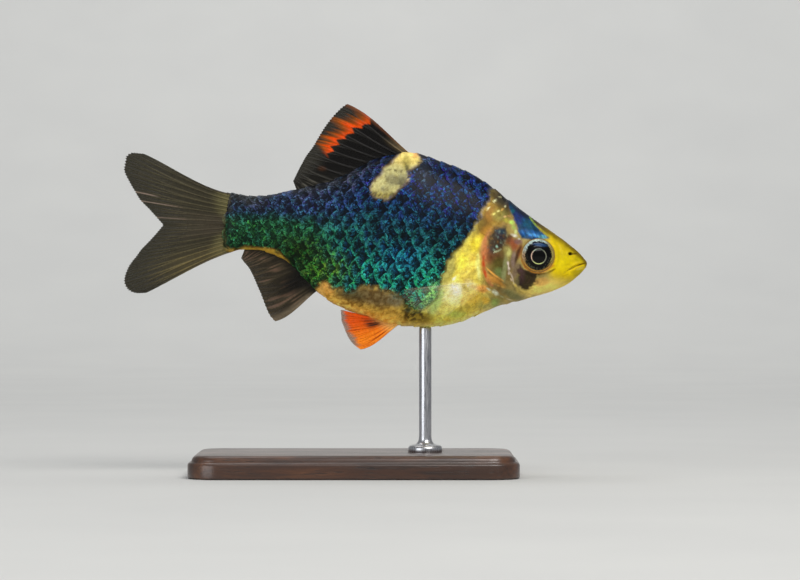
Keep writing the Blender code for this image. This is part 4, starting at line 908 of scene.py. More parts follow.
class Flank:
    """The body's surface by x and by the length run round it from its widest line, plus upwards."""

    STEP_X, STEP_RUN = 0.25, 0.1
    REACH = 16.0

    def __init__(self):
        self.xs = np.arange(-2.0, 41.0, self.STEP_X)
        self.runs = np.arange(-self.REACH, self.REACH + self.STEP_RUN, self.STEP_RUN)
        self.up, self.down = [], []
        table = []
        for x in self.xs:
            y, z, run = half_section(x)
            middle = int(np.argmax(y))
            up, down = run[middle], run[-1] - run[middle]
            self.up.append(up)
            self.down.append(down)
            wanted = self.runs.copy()
            over, under = wanted > up, wanted < -down
            wanted = np.where(over, 2 * up - wanted, np.where(under, -2 * down - wanted, wanted))
            at = up - wanted
            side = np.where(over | under, -1.0, 1.0)
            table.append(np.stack([np.full(len(at), x), np.interp(at, run, y) * side, np.interp(at, run, z)], axis=1))
        self.table = np.array(table)
        self.up, self.down = np.array(self.up), np.array(self.down)
        along, around = np.gradient(self.table, axis=0), np.gradient(self.table, axis=1)
        normal = np.cross(around, along)
        self.normals = -normal / np.maximum(np.linalg.norm(normal, axis=2, keepdims=True), 1e-9)
        if self.normals[60, len(self.runs) // 2, 1] < 0:
            self.normals = -self.normals

    def at(self, x, run):
        """Places and outward directions of the left side."""
        u = np.clip((x - self.xs[0]) / self.STEP_X, 0, len(self.xs) - 1.001)
        v = np.clip((run - self.runs[0]) / self.STEP_RUN, 0, len(self.runs) - 1.001)
        i, j = u.astype(int), v.astype(int)
        s, t = (u - i)[..., None], (v - j)[..., None]
        found = []
        for table in (self.table, self.normals):
            near = table[i, j] * (1 - t) + table[i, j + 1] * t
            far = table[i + 1, j] * (1 - t) + table[i + 1, j + 1] * t
            found.append(near * (1 - s) + far * s)
        places, normals = found
        return places, normals / np.linalg.norm(normals, axis=-1, keepdims=True)


SCALE_LENGTH = track([-2, 5, 13, 22, 32, 37], [1.15, 1.25, 1.55, 1.68, 1.62, 1.45])
SCALE_SPACING = track([-2, 5, 13, 22, 32, 37], [0.95, 1.05, 1.45, 1.62, 1.55, 1.35])
SCALE_ACROSS, SCALE_ALONG = 13, 12
SCALE_PROUD, SCALE_TILT, SCALE_EDGE = 0.04, 0.12, 0.06


def scale_centres(flank):
    """Staggered rows of scales: x, run round the body, and row of each."""
    x = np.arange(-1.4, 38.0, 0.02)
    column_at = np.concatenate([[0.0], np.cumsum(0.02 / SCALE_LENGTH(x[:-1]))])
    up, down = np.interp(x, flank.xs, flank.up), np.interp(x, flank.xs, flank.down)
    found = []
    for row in range(-12, 13):
        for column in range(int(column_at[-1]) + 1):
            here = np.interp(column + (0.5 if row % 2 else 0.0), column_at, x)
            run = row * float(SCALE_SPACING(here))
            top, bottom = np.interp(here, x, up), -np.interp(here, x, down)
            if bottom - 0.2 < run < top + 0.2:
                found.append((here, run, row, min(top - run, run - bottom)))
    return found


def scale_template():
    """Places of a scale over its centre, rearwards and across, and how near its rear rim they lie."""
    across = np.linspace(-1, 1, SCALE_ACROSS)
    share = np.linspace(0, 1, SCALE_ALONG) ** 0.8
    front = -0.92 * np.sqrt(1 - (0.9 * across) ** 2)
    rear = 0.95 * np.sqrt(1 - (0.93 * across) ** 2)
    rearwards = front[:, None] + (rear - front)[:, None] * share[None, :]
    sideways = np.repeat(across[:, None], SCALE_ALONG, axis=1) * 1.02
    rim = np.clip(1 - (rear[:, None] - rearwards) / 0.95, 0, 1)
    return rearwards, sideways, rim


def make_scales(side, name, flank, material):
    """One side's scales as closed plates, each rooted in the skin and lying over those behind it."""
    rng = np.random.default_rng(SEED + (side > 0))
    rearwards, sideways, rim = scale_template()
    i_max, j_max = SCALE_ACROSS, SCALE_ALONG
    loop = [(i, 0) for i in range(i_max - 1)] + [(i_max - 1, j) for j in range(j_max - 1)]
    loop += [(i, j_max - 1) for i in range(i_max - 1, 0, -1)] + [(0, j) for j in range(j_max - 1, 0, -1)]
    loop = np.array([i * j_max + j for i, j in loop])
    top_count = i_max * j_max
    per_scale = top_count + len(loop)
    top_faces = grid_faces(i_max, j_max)
    points, rims, roots, faces, hues = [], [], [], [], []
    for x, run, row, margin in scale_centres(flank):
        place, _ = flank.at(np.array([x]), np.array([run]))
        px, _, pz = place[0]
        if from_line(np.array([px]), np.array([pz]), SCALES_BEGIN)[0][0] > -0.35:
            continue
        if margin < 0.25 and side < 0:
            continue
        if from_line(np.array([px]), np.array([pz]), SCALES_END)[0][0] > -0.55:
            continue
        if margin < 1.0 and ((8.2 < px < 22.8 and pz > 0) or (2.4 < px < 12.8 and pz < 0)):
            continue
        length, spacing = float(SCALE_LENGTH(x)), float(SCALE_SPACING(x))
        size = 1 + 0.05 * rng.uniform(-1, 1)
        jog = rng.uniform(-0.04, 0.04, 2)
        lean = 0.06 * rng.uniform(-1, 1)
        back = rearwards * size + jog[0] + lean * sideways
        over = sideways * size + jog[1]
        places, normals = flank.at(x - back * length, run + over * spacing)
        height = SCALE_PROUD + SCALE_TILT * rearwards - 0.018 * sideways ** 2 - SKIN_DEPTH
        height += 0.012 * rng.uniform(-1, 1)
        top = (places + normals * height[..., None]).reshape(-1, 3)
        skirt = (places + normals * (height - SCALE_EDGE)[..., None]).reshape(-1, 3)[loop]
        base = len(points) * per_scale
        points.append(np.concatenate([top, skirt]) * (1, side, 1))
        tone = rng.uniform(0.75, 1.15)
        rims.append(np.concatenate([rim.ravel(), rim.ravel()[loop]]) * tone)
        hues.append(np.full(per_scale, rng.uniform(-1, 1)))
        patch = np.stack([-back.ravel(), over.ravel()], axis=1) * 0.0015
        root = np.array([(x + 3) / 45, (run + 16) / 34]) * 0.96 + 0.02
        roots.append(np.concatenate([patch, patch[loop]]) + root)
        faces.extend((top_faces + base).tolist())
        for a, (near, far) in enumerate(zip(loop, np.roll(loop, -1))):
            b = (a + 1) % len(loop)
            faces.append((base + near, base + top_count + a, base + top_count + b, base + far))
        faces.append([base + top_count + a for a in range(len(loop))])
    count = len(points)
    points = np.concatenate(points)
    rims, roots, hues = np.concatenate(rims), np.concatenate(roots), np.concatenate(hues)
    if side < 0:
        faces = [list(face)[::-1] for face in faces]
    obj = fish_mesh(name, points, faces, material)
    dress(obj.data, points, rims, hues)
    unwrap = obj.data.uv_layers.new(name="OFBake")
    corners = np.zeros(len(obj.data.loops), np.int32)
    obj.data.loops.foreach_get("vertex_index", corners)
    unwrap.data.foreach_set("uv", roots[corners].astype(np.float32).ravel())
    obj.data.set_sharp_from_angle(angle=math.radians(40))
    print(name, count, "scales", sum(len(f) - 2 for f in faces), "triangles")
    return obj


# Fins

MEMBRANE, RAY_ROOT, RAY_TIP = 0.07, 0.24, 0.07
COLUMNS_PER_RAY, FIN_ROWS = 22, 52


JOINTS_PER_MM = 2.6


def ray_ridges(u, v, rays):
    """1 on a ray or one of its branches and 0 on the membrane between them."""
    place = u * (rays - 1)
    off = place - np.round(place)
    first, second = ramp(0.3, 0.9, v) * 0.25, ramp(0.55, 1.05, v) * 0.125
    width = 0.115 - 0.06 * ramp(0.1, 0.85, v)
    ridge = np.zeros(np.shape(u))
    for a in (-1, 1):
        for b in (-1, 1):
            ridge = np.maximum(ridge, np.exp(-(((off - a * first - b * second) / width) ** 2)))
    return ridge


def make_fin(name, rays, root, edge, bend, tint, material, thick_root=0.0, notch=0.012):
    """A fin as a thin closed sheet whose rays are ridges that fork towards the edge."""
    u = np.linspace(0, 1, (rays - 1) * COLUMNS_PER_RAY + 1)
    v = np.linspace(0, 1, FIN_ROWS) ** 0.95
    uu, vv = np.meshgrid(u, v, indexing="ij")
    ridge = ray_ridges(uu, vv, rays)
    rng = np.random.default_rng(SEED)
    uneven = np.interp(u * (rays - 1), np.arange(rays), rng.uniform(0, 0.012, rays))
    reach = vv * (1 - (notch * (1 - ridge) + uneven[:, None]) * vv ** 3)
    start, end = root(u)[:, None, :], edge(u)[:, None, :]
    middle = start + (end - start) * reach[..., None] + bend(uu, reach)
    across, outward = np.gradient(middle, axis=0), np.gradient(middle, axis=1)
    normal = np.cross(across, outward)
    normal /= np.maximum(np.linalg.norm(normal, axis=2, keepdims=True), 1e-9)
    rays_thick = (RAY_ROOT + (RAY_TIP - RAY_ROOT) * vv ** 0.7) * ridge
    half = (MEMBRANE + rays_thick + thick_root * np.exp(-vv / 0.06)) / 2
    half *= 1 - 0.5 * ramp(0.94, 1.0, vv)
    front, back = middle + normal * half[..., None], middle - normal * half[..., None]
    count = uu.size
    columns = len(v)
    points = np.concatenate([front.reshape(-1, 3), back.reshape(-1, 3)])
    sheet = grid_faces(len(u), columns)
    faces = sheet.tolist() + (sheet[:, ::-1] + count).tolist()
    i_max, j_max = len(u) - 1, columns - 1
    rim = [(i, 0) for i in range(i_max)] + [(i_max, j) for j in range(j_max)]
    rim += [(i, j_max) for i in range(i_max, 0, -1)] + [(0, j) for j in range(j_max, 0, -1)]
    rim = [i * columns + j for i, j in rim]
    for a, b in zip(rim, rim[1:] + rim[:1]):
        faces.append((a, a + count, b + count, b))
    obj = fish_mesh(name, points, faces, material)
    flat = middle.reshape(-1, 3)
    colour, alpha = tint(uu.ravel(), vv.ravel(), flat, ridge.ravel())
    colour, alpha = np.clip(colour, 0, 1), np.clip(alpha, 0, 1)
    steps = np.linalg.norm(np.diff(middle, axis=1), axis=2)
    along = np.concatenate([np.zeros((len(u), 1)), np.cumsum(steps, axis=1)], axis=1)
    store_colour(obj.data, "tint", np.tile(colour, (2, 1)), np.tile(alpha, 2))
    store_number(obj.data, "ray", np.tile((ridge * ramp(0.2, 0.45, vv)).ravel(), 2))
    store_number(obj.data, "along", np.tile(along.ravel(), 2))
    return obj


def outline_at(x, lower):
    """Height of the line of the back or belly."""
    return girth(x)[1 if lower else 0]


def bulge(v):
    return 6.75 * v * v * (1 - v)


DORSAL_EDGE = [(13.3, 17.0), (12.6, 16.4), (11.3, 14.6), (9.9, 11.6), (8.4, 8.5), (7.7, 6.3)]
ANAL_EDGE = [(7.4, -11.95), (6.6, -11.2), (5.0, -8.3), (3.6, -5.9), (2.2, -4.4)]
UPPER_TAIL_EDGE = [(-12.0, 7.6), (-13.4, 7.6), (-14.3, 6.9), (-14.3, 5.6), (-13.3, 3.6), (-12.0, 1.9), (-10.2, 0.3),
                   (-8.3, -1.34)]
LOWER_TAIL_EDGE = [(-9.6, -10.3), (-11.0, -10.5), (-12.1, -10.1), (-12.6, -9.0), (-12.3, -7.4), (-11.1, -5.2),
                   (-9.7, -3.2), (-8.3, -1.2)]
PELVIC_EDGE = [(18.75, -14.2), (17.7, -13.6), (16.7, -12.3), (15.95, -10.8), (15.65, -9.45)]
PECTORAL_ROOT = [(32.7, -3.9), (33.0, -5.1)]
PECTORAL_EDGE = [(23.6, -5.3), (23.5, -6.0), (24.6, -7.0), (26.8, -7.6), (29.0, -7.5)]
RED_BAND = [(18.2, 15.7), (17.4, 15.2), (15.8, 14.0), (14.7, 13.2), (13.6, 12.2), (12.9, 11.2), (12.2, 10.0),
            (11.7, 9.3)]


def median_fin(name, base, outer, rays, swell, lean, sweep, lower, tint, material):
    """A fin on the middle line. The higher the sweep, the further its hind rays lie back."""
    front, rear = base
    line = line_track(outer)

    def root(u):
        x = front + (rear - front) * u ** 1.25
        sink = 0.5 if lower else -0.5
        return np.stack([x, np.zeros(len(u)), outline_at(x, lower) + sink], axis=1)

    def edge(u):
        x, z = line(1 - (1 - u) ** sweep).T
        return np.stack([x, lean * (1 - u), z], axis=1)

    def bend(u, v):
        away = np.array([0.33, 0.0, -0.95 if lower else 0.95])
        return (swell * (1 - u) ** 2 * bulge(v))[..., None] * away

    return make_fin(name, rays, root, edge, bend, tint, material, thick_root=0.35)


def hairs(u, v, rays, seed):
    """Noise from 0 to 1 drawn out along the rays."""
    return lumps(np.stack([u * (rays - 1) * 7, v * 2.5, 0 * u], axis=1), 1.0, seed)


def dorsal_tint(u, v, places, ridge):
    x, z = places[:, 0], places[:, 2]
    hair = hairs(u, v, 12, 21)
    colour = np.tile(srgb(11, 9, 8), (len(u), 1))
    colour = lay(colour, srgb(34, 31, 27), ridge * (0.1 + 0.7 * v))
    outer, rear = ramp(0.55, 0.9, v), ramp(0.5, 0.9, u)
    colour = lay(colour, srgb(50, 47, 38), outer * (0.45 + 0.5 * hair))
    colour = lay(colour, srgb(38, 36, 30), rear * (0.3 + 0.6 * hair))
    colour = lay(colour, srgb(104, 100, 88), ramp(0.55, 0.9, hair) * rear * ramp(0.9, 0.3, v) * 0.4)
    off, share = from_line(x, z, RED_BAND)
    gap = u * 13
    tooth = np.abs((gap + 0.35) % 1 - 0.5) * 2
    uneven = lumps(np.stack([gap, 0 * gap, 0 * gap], axis=1), 1.0, 22)
    beyond = -off - (0.4 + 0.4 * uneven) * (1 - tooth) ** 0.75 - 0.2 * (hair - 0.5)
    reach = 2.3 - 1.2 * share + 0.8 * (uneven - 0.5) + 1.2 * (hair - 0.5)
    ends = ramp(0.0, 0.05, share) * ramp(0.97, 0.86, share)
    hot = ramp(0.0, 0.14, beyond) * ramp(0.95, 0.1, beyond / reach) * ends
    warm = ramp(-0.1, 0.2, beyond) * ramp(1.9, 0.6, beyond / reach) * ends
    colour = lay(colour, srgb(150, 76, 8), warm * (0.6 + 0.4 * hair))
    colour = lay(colour, srgb(238, 74, 0), hot * (0.55 + 0.5 * hair))
    colour = lay(colour, srgb(96, 52, 16), blob(x, z, (11.2, 8.3), (0.5, 0.3), 0, 0.6) * 0.3)
    lead = ramp(0.045, 0.0, u)
    colour = lay(colour, srgb(120, 72, 46), lead * 0.7)
    front_root = ramp(0.16, 0.02, u) * ramp(0.4, 0.05, v) * (0.3 + 0.7 * ridge)
    colour = lay(colour, srgb(196, 170, 122), front_root * 0.8)
    return colour, 0.97 - 0.12 * outer * (1 - ridge) * (1 - warm)


def anal_tint(u, v, places, ridge):
    hair = hairs(u, v, 9, 23)
    colour = np.tile(srgb(44, 38, 27), (len(u), 1))
    colour = lay(colour, srgb(74, 65, 48), ridge * 0.4 + 0.5 * ramp(0.4, 0.8, hair))
    colour = lay(colour, srgb(116, 88, 72), ramp(0.62, 0.9, hair) * ramp(0.2, 0.5, v) * 0.55)
    dark = blob(places[:, 0], places[:, 2], (9.9, -6.4), (3.0, 1.2), 30, 0.7)
    colour = lay(colour, srgb(13, 11, 9), dark * 0.92)
    colour = lay(colour, srgb(22, 20, 15), ramp(0.25, 0.05, v) * 0.7)
    colour = lay(colour, srgb(132, 116, 94), ramp(0.085, 0.0, u) * ramp(0.05, 0.25, v) * (0.4 + 0.5 * hair))
    return colour, 0.96 - 0.12 * (1 - ridge) * ramp(0.5, 1.0, v)


def tail_tint(lower):
    def tint(u, v, places, ridge):
        hair = hairs(u, v, 10, 24 + lower)
        colour = np.tile(srgb(50, 46, 34), (len(u), 1))
        colour = lay(colour, srgb(92, 85, 62), (ridge * 0.7 + 0.3 * ramp(0.5, 0.9, hair)) * (1.0 - 0.4 * v))
        colour = lay(colour, srgb(40, 38, 30), ramp(0.55, 1.0, v) * (0.4 + 0.4 * hair))
        fan = ramp(0.26, 0.06, v) * ramp(0.9, 0.6, u)
        colour = lay(colour, srgb(84, 78, 48), fan * 0.85)
        colour = lay(colour, srgb(142, 134, 90), fan * (0.5 * ridge + 0.4 * hair))
        middle = ramp(0.62, 0.85, u)
        colour = lay(colour, srgb(80, 71, 58), middle * ramp(0.9, 0.2, v) * (0.35 + 0.5 * ridge))
        colour = lay(colour, srgb(46, 40, 30), ramp(0.16, 0.04, v) * ramp(0.72, 0.92, u) * 0.8)
        if lower:
            gold = ramp(0.05, 0.12, v) * ramp(0.85, 0.4, v) * ramp(0.55, 0.15, u)
            colour = lay(colour, srgb(138, 122, 76), gold * (0.15 + 0.6 * ridge))
        else:
            # Painted highlights: pale pinkish streaks along three rays of the upper lobe
            streak = ramp(0.014, 0.0, np.abs(u - 0.555)) * ramp(0.72, 0.85, v)
            streak = np.maximum(streak, ramp(0.012, 0.0, np.abs(u - 0.67)) * ramp(0.5, 0.7, v))
            streak = np.maximum(streak, ramp(0.014, 0.0, np.abs(u - 0.89)) * ramp(0.5, 0.7, v) * 0.6)
            colour = lay(colour, srgb(166, 142, 126), streak * 0.7)
        colour = lay(colour, srgb(92, 82, 72), ramp(0.08, 0.0, u) * ramp(0.6, 0.1, v) * 0.8)
        return colour, 0.97 - 0.14 * (1 - ridge) * ramp(0.25, 1.0, v)

    return tint


def pelvic_tint(u, v, places, ridge):
    hair = hairs(u, v, 9, 26)
    colour = np.tile(srgb(222, 94, 4), (len(u), 1))
    colour = lay(colour, srgb(244, 148, 24), ramp(0.7, 0.0, u) * (0.25 + 0.7 * hair))
    colour = lay(colour, srgb(206, 62, 4), ramp(0.35, 0.9, u) * (0.3 + 0.5 * hair))
    colour = lay(colour, srgb(150, 44, 4), ramp(0.3, 0.1, hair) * 0.6)
    colour = lay(colour, srgb(234, 194, 110), ramp(0.4, 0.04, v) * 0.9)
    streak = ramp(0.25, 0.75, hair)
    dark = ramp(0.14, 0.28, v) * ramp(0.62, 0.4, v) * ramp(0.36, 0.52, u) * ramp(0.92, 0.76, u)
    colour = lay(colour, srgb(58, 28, 10), dark * (0.3 + 0.7 * streak))
    fray = 0.05 * streak + 0.03 * np.sin(u * 23)
    edge = ramp(0.87, 1.0, v + fray) * ramp(0.05, 0.2, u)
    colour = lay(colour, srgb(150, 132, 116), edge * 0.9)
    return colour, 0.97 - 0.5 * edge * (1 - 0.5 * ridge)


def pectoral_tint(u, v, places, ridge):
    colour = np.tile(srgb(214, 206, 160), (len(u), 1))
    colour = lay(colour, srgb(240, 234, 200), ridge)
    upper = ramp(0.16, 0.0, u)
    away = ramp(0.0, 0.12, v)
    return colour, 0.02 + away * (0.09 * ridge * (1 - 0.6 * v) + 0.24 * upper * ramp(1.05, 0.2, v))


def tail_lobe(name, span, outer, lower, material):
    line = line_track(outer)

    def root(u):
        top, bottom = span
        return np.stack([np.full(len(u), 0.9), np.zeros(len(u)), top + (bottom - top) * u], axis=1)

    def edge(u):
        x, z = line(u).T
        return np.stack([x, np.zeros(len(u)), z], axis=1)

    def bend(u, v):
        sway = 0.9 * v * v * (1 - 0.5 * u)
        hollow = 6.75 * v * (1 - v) ** 2 * (1 - u) ** 2 * (0.3 if lower else -0.65)
        return np.stack([0 * v, sway, hollow], axis=-1)

    return make_fin(name, 10, root, edge, bend, tail_tint(lower), material, thick_root=0.3)


def pelvic_fin(name, side, material):
    line = line_track(PELVIC_EDGE)

    def root(u):
        x = 23.6 - 2.6 * u
        z = girth(x)[1] + 0.45
        return np.stack([x, side * (0.75 + 0 * u), z], axis=1)

    def edge(u):
        x, z = line(u).T
        return np.stack([x, side * (1.0 + 1.3 * (1 - 0.35 * u)), z], axis=1)

    def bend(u, v):
        return (0.45 * (1 - u) ** 2 * bulge(v))[..., None] * np.array([0.33, 0.0, -0.95])

    return make_fin(name, 9, root, edge, bend, pelvic_tint, material, thick_root=0.25)


def pectoral_fin(name, side, material):
    near, far = line_track(PECTORAL_ROOT), line_track(PECTORAL_EDGE)

    def on_flank(flat, off):
        x, z = flat[..., 0], flat[..., 1]
        step = 0.05
        y = half_width_at(x, z)
        slope_x = (half_width_at(x + step, z) - half_width_at(x - step, z)) / (2 * step)
        slope_z = (half_width_at(x, z + step) - half_width_at(x, z - step)) / (2 * step)
        normal = np.stack([-slope_x, np.ones_like(y), -slope_z], axis=-1)
        normal /= np.linalg.norm(normal, axis=-1, keepdims=True)
        return (np.stack([x, y, z], axis=-1) + normal * off[..., None]) * np.array([1, side, 1])

    def middle(u, v):
        flat = near(u) + (far(u) - near(u)) * v[..., None]
        return on_flank(flat, 0.35 + 2.1 * v ** 1.3)

    def root(u):
        return middle(u, np.zeros(len(u)))

    def edge(u):
        return middle(u, np.ones(len(u)))

    def bend(u, v):
        straight = middle(u, np.zeros(u.shape)) * (1 - v)[..., None] + middle(u, np.ones(u.shape)) * v[..., None]
        return middle(u, v) - straight

    return make_fin(name, 9, root, edge, bend, pectoral_tint, material, thick_root=0.2)


# Eyes


def eye_colours(points):
    """A black eye with a thin bright ring round the pupil and a silver-green one round the iris, brightened on some
    sides by painted highlights and crossed at the top by a painted blue reflection.
    """
    x, z = points[:, 0] - EYE_X, points[:, 2] - EYE_Z
    r = np.hypot(x, z)
    up, forward = z / np.maximum(r, 0.01), x / np.maximum(r, 0.01)
    noise, fine = lumps(points, 0.3, 4), lumps(points, 0.12, 8)
    colour = np.tile(srgb(5, 5, 5), (len(r), 1))
    silver = np.tile(srgb(146, 152, 122), (len(r), 1))
    # Painted highlight: the silver ring is paler towards the upper left
    silver = lay(silver, srgb(184, 204, 196), ramp(0.1, 0.9, up - 0.5 * forward))
    silver = lay(silver, srgb(170, 140, 104), ramp(0.5, 0.95, -forward) * ramp(0.5, -0.2, up))
    silver = lay(silver, srgb(172, 154, 84), ramp(0.3, 0.9, forward))
    silver = lay(silver, srgb(104, 82, 36), ramp(-0.2, -0.75, up))
    silver = silver * (0.3 + 0.9 * fine)[:, None]
    oval = np.hypot(x / 0.96, z / 1.04)
    wide = 0.09 * ramp(0.0, 1.1, up - forward) - 0.04 * ramp(0.4, 0.9, up)
    ring = ramp(1.74, 1.9, oval + wide + 0.24 * (noise - 0.5) + 0.16 * (fine - 0.5))
    colour = lay(colour, srgb(72, 74, 58), ramp(1.36, 1.62, oval) * ramp(0.45, 0.75, fine) * ramp(0.6, -0.4, up) * 0.7)
    colour = colour + (silver - colour) * ring[:, None]
    # Painted reflection: a blue arc over the top of the black iris
    colour = lay(colour, srgb(44, 78, 122), blob(x, z, (0.1, 1.36), (0.85, 0.2), 0, 0.6) * (0.6 + 0.4 * fine))
    colour = lay(colour, srgb(206, 150, 60), ramp(1.9, 1.98, r) * ramp(-0.2, -0.7, up) * 0.85)
    colour = lay(colour, srgb(150, 118, 66), ramp(2.02, 2.1, r))
    px, pz = x - PUPIL_AT[0], z - PUPIL_AT[1]
    off_pupil = np.hypot(px, pz)
    over, ahead = pz / np.maximum(off_pupil, 0.01), px / np.maximum(off_pupil, 0.01)
    thin = np.exp(-(((off_pupil - 0.95) / 0.048) ** 2))
    gold = np.tile(srgb(150, 150, 128), (len(r), 1))
    # Painted highlights: the ring round the pupil is brighter below and to the left and dim at the top
    gold = lay(gold, srgb(196, 212, 186), ramp(0.3, 0.9, over - ahead))
    gold = lay(gold, srgb(244, 204, 178), ramp(0.6, 1.0, -ahead))
    gold = lay(gold, srgb(236, 246, 156), ramp(0.5, 1.0, -over))
    gold = lay(gold, srgb(104, 114, 96), ramp(0.7, 1.0, over))
    colour = colour + (gold - colour) * np.clip(thin * 1.15, 0, 1)[:, None]
    return colour, 0.7 * ring + thin


def make_eye(name, side, material):
    """An iris with its rings and a domed pupil, set in the socket."""
    outer = EYE_RADIUS + 0.12
    radii = np.concatenate([np.linspace(0, 1.2, 34)[1:], np.linspace(1.2, outer, 34)[1:]])
    turns = 144
    angle = np.arange(turns) * 2 * math.pi / turns
    rr, aa = np.meshgrid(radii, angle, indexing="ij")
    dx, dz = rr * np.cos(aa), rr * np.sin(aa)
    off_pupil = np.hypot(dx - PUPIL_AT[0], dz - PUPIL_AT[1])
    dome = EYE_DOME * np.sqrt(np.clip(1 - (rr / outer) ** 2, 0, 1))
    pupil = PUPIL_DOME * np.sqrt(np.clip(1 - (off_pupil / PUPIL_RADIUS) ** 2, 0, 1))
    pupil += 0.02 * ramp(PUPIL_RADIUS + 0.1, PUPIL_RADIUS, off_pupil)
    dish = 0.04 * np.exp(-(((off_pupil - 0.98) / 0.08) ** 2)) - 0.05 * np.exp(-(((rr - 1.35) / 0.2) ** 2))
    depth = dome + pupil + dish
    lid = half_width_at(EYE_X + dx, EYE_Z + dz) - 0.08
    level = EYE_LEVEL - EYE_TURN * dx
    y = side * (level + (lid - level) * ramp(1.3, 2.1, rr) + depth)
    points = np.stack([EYE_X + dx, y, EYE_Z + dz], axis=-1).reshape(-1, 3)
    pole = np.array([[EYE_X, side * (EYE_LEVEL + EYE_DOME + PUPIL_DOME + 0.02), EYE_Z]])
    rear = np.array([[EYE_X, side * (EYE_LEVEL - 1.2), EYE_Z]])
    total = points.shape[0]
    points = np.concatenate([points, pole, rear])
    faces = grid_faces(len(radii), turns, wrap=True).tolist()
    faces += [(total, (j + 1) % turns, j) for j in range(turns)]
    last = (len(radii) - 1) * turns
    faces += [(total + 1, last + j, last + (j + 1) % turns) for j in range(turns)]
    if side > 0:
        faces = [list(f)[::-1] for f in faces]
    obj = fish_mesh(name, points, faces, material)
    colour, ring = eye_colours(points)
    store_colour(obj.data, "tint", np.clip(colour, 0, 1), 0.3 * np.clip(ring, 0, 1))
    return obj


# Stand


def make_base(material):
    """A flat wooden base with round corners and a small moulding round its top."""
    low, high = (np.array(corner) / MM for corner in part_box("stand_base"))
    profile = [(0.25, 0.0), (0.0, 0.2), (0.0, 1.75), (0.08, 1.95), (0.42, 2.1), (0.5, 2.2), (0.52, 2.35), (0.62, 2.6),
               (0.82, 2.82), (1.1, 2.95), (1.4, 3.0)]
    corner, steps = 4.0, 14
    rings = []
    for inset, z in profile:
        ring = []
        radius = max(corner - inset, 0.6)
        for quarter, (sx, sy) in enumerate([(1, 1), (-1, 1), (-1, -1), (1, -1)]):
            cx = (high[0] if sx > 0 else low[0]) - sx * corner
            cy = (high[1] if sy > 0 else low[1]) - sy * corner
            for k in range(steps + 1):
                turn = math.pi / 2 * (quarter + k / steps)
                ring.append((cx + radius * math.cos(turn), cy + radius * math.sin(turn), low[2] + z))
        rings.append(ring)
    points = np.array(rings)
    rows, columns, _ = points.shape
    faces = grid_faces(rows, columns, wrap=True).tolist()
    faces.append(list(range(columns))[::-1])
    faces.append([(rows - 1) * columns + j for j in range(columns)])
    obj = new_mesh("display_base", points.reshape(-1, 3), faces, material)
    obj.data.set_sharp_from_angle(angle=math.radians(50))
    return obj


def make_rod(material):
    """The rod with its turned foot, its top end meeting the belly."""
    low, high = (np.array(corner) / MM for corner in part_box("stand_rod"))
    centre = (low[:2] + high[:2]) / 2
    foot_low = low[2] - 0.3
    top = high[2] + 0.25
    profile = [(0.0, foot_low), (2.15, foot_low), (2.2, foot_low + 0.08), (2.2, foot_low + 0.5), (2.1, foot_low + 0.72),
               (1.9, foot_low + 0.86), (1.5, foot_low + 0.93), (1.15, foot_low + 1.05), (0.95, foot_low + 1.3),
               (0.84, foot_low + 1.6), (0.8, foot_low + 2.0), (0.8, top - 0.25), (0.74, top - 0.1), (0.6, top), (0.0, top)]
    turns = 64
    angle = np.arange(turns) * 2 * math.pi / turns
    rings = [np.stack([centre[0] + r * np.cos(angle), centre[1] + r * np.sin(angle), np.full(turns, z)], axis=1)
             for r, z in profile[1:-1]]
    points = np.concatenate(rings)
    rows = len(rings)
    faces = grid_faces(rows, turns, wrap=True).tolist()
    faces.append(list(range(turns))[::-1])
    faces.append([(rows - 1) * turns + j for j in range(turns)])
    obj = new_mesh("display_rod", points, faces, material)
    obj.data.set_sharp_from_angle(angle=math.radians(40))
    return obj


# Studio


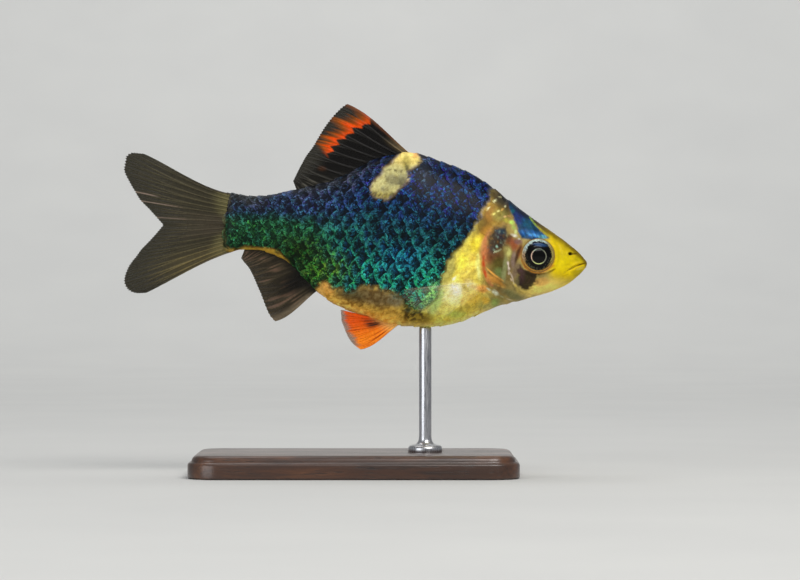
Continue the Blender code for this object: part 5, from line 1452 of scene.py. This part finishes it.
def make_studio():
    """A pale sheet that curves up behind the part, soft lights and the camera."""
    width, near, far, bend, height = 2400, -1000, 540, 460, 1500
    profile = [(near, 0.0)]
    for k in range(17):
        turn = math.pi / 2 * k / 16
        profile.append((far + bend * math.sin(turn), bend * (1 - math.cos(turn))))
    profile.append((far + bend, height))
    points = [(x, y, z) for y, z in profile for x in (-width / 2, width / 2)]
    faces = [(2 * i, 2 * i + 1, 2 * i + 3, 2 * i + 2) for i in range(len(profile) - 1)]
    sheet = new_mesh("studio_sheet", points, faces, floor_material())

    def lamp(name, place, aim, size, power, colour):
        light = bpy.data.lights.new(name, "AREA")
        light.shape = "RECTANGLE"
        light.size, light.size_y = (side * MM for side in size)
        light.energy = power
        light.color = colour
        obj = bpy.data.objects.new(name, light)
        bpy.context.scene.collection.objects.link(obj)
        obj.location = [v * MM for v in place]
        obj.rotation_euler = (Vector(aim) - Vector(place)).to_track_quat("-Z", "Y").to_euler()

    lamp("key", (170, -300, 380), (0, 0, 25), (300, 240), 1.75, (1.0, 0.98, 0.95))
    lamp("fill", (-300, -320, 120), (0, 0, 25), (300, 260), 0.62, (0.94, 0.97, 1.0))
    lamp("top", (-20, 110, 360), (0, 0, 20), (320, 220), 0.55, (1.0, 1.0, 1.0))
    lamp("backdrop", (0, 430, 620), (0, 1000, 240), (600, 200), 3.6, (1.0, 1.0, 1.0))
    world = bpy.data.worlds.new("studio")
    world.use_nodes = True
    world.node_tree.nodes["Background"].inputs["Color"].default_value = (0.85, 0.88, 0.92, 1.0)
    world.node_tree.nodes["Background"].inputs["Strength"].default_value = 0.34
    bpy.context.scene.world = world
    bpy.context.scene.view_settings.view_transform = "Standard"
    camera = bpy.data.cameras.new("camera")
    camera.sensor_width = 36.0
    camera.lens = 36.0 * CAMERA_DISTANCE / (PHOTO_WIDTH * MM_PER_PIXEL)
    eye = bpy.data.objects.new("camera", camera)
    bpy.context.scene.collection.objects.link(eye)
    centre_x = (PHOTO_WIDTH / 2 - ORIGIN_COLUMN) * MM_PER_PIXEL
    centre_z = TANK_LEVEL + (LEVEL_ROW - PHOTO_HEIGHT / 2) * MM_PER_PIXEL
    eye.location = (centre_x * MM, -CAMERA_DISTANCE * MM, centre_z * MM)
    eye.rotation_euler = (math.pi / 2, 0.0, 0.0)
    bpy.context.scene.camera = eye


# The photo's frame: how its pixels lie on the plane through the fish
PHOTO_WIDTH, PHOTO_HEIGHT = 800, 580
MM_PER_PIXEL = 0.128649
ORIGIN_COLUMN, LEVEL_ROW, TANK_LEVEL = 354.5, 327.5, 19.0
CAMERA_DISTANCE = 450.0


def main():
    skin = skin_material()
    fin, red_fin, clear_fin = fin_material("fin"), fin_material("red_fin"), fin_material("clear_fin", 0.3)
    eye = eye_material()
    flesh = make_skin(skin)
    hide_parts("head", "trunk", "tail_stem", "gill_cover_left", "gill_cover_right")
    flank = Flank()
    pieces = [flesh]
    for name, side in (("left", 1), ("right", -1)):
        scales = make_scales(side, f"scales_{name}", flank, skin)
        ball = make_eye(f"iris_{name}", side, eye)
        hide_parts(f"eye_{name}")
        pelvic = pelvic_fin(f"pelvic_membrane_{name}", side, red_fin)
        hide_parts(f"pelvic_fin_{name}")
        pectoral = pectoral_fin(f"pectoral_membrane_{name}", side, clear_fin)
        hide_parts(f"pectoral_fin_{name}")
        pieces += [scales, ball, pelvic, pectoral]
    dorsal = median_fin("dorsal_membrane", (22.6, 8.4), DORSAL_EDGE, 12, 0.5, 0.35, 1.55, False, dorsal_tint, fin)
    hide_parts("dorsal_fin")
    anal = median_fin("anal_membrane", (12.6, 2.6), ANAL_EDGE, 9, 0.45, -0.3, 2.0, True, anal_tint, fin)
    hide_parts("anal_fin")
    upper = tail_lobe("tail_membrane_upper", (3.72, -0.27), UPPER_TAIL_EDGE, False, fin)
    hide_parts("tail_fin_upper")
    lower = tail_lobe("tail_membrane_lower", (-3.72, -0.13), LOWER_TAIL_EDGE, True, fin)
    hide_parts("tail_fin_lower")
    for piece in (dorsal, anal, upper, lower):
        pieces.append(piece)
    base = make_base(wood_material())
    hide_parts("stand_base")
    rod = make_rod(steel_material())
    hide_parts("stand_rod")
    for piece in pieces + [base, rod]:
        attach(piece, "root")
    make_studio()


main()
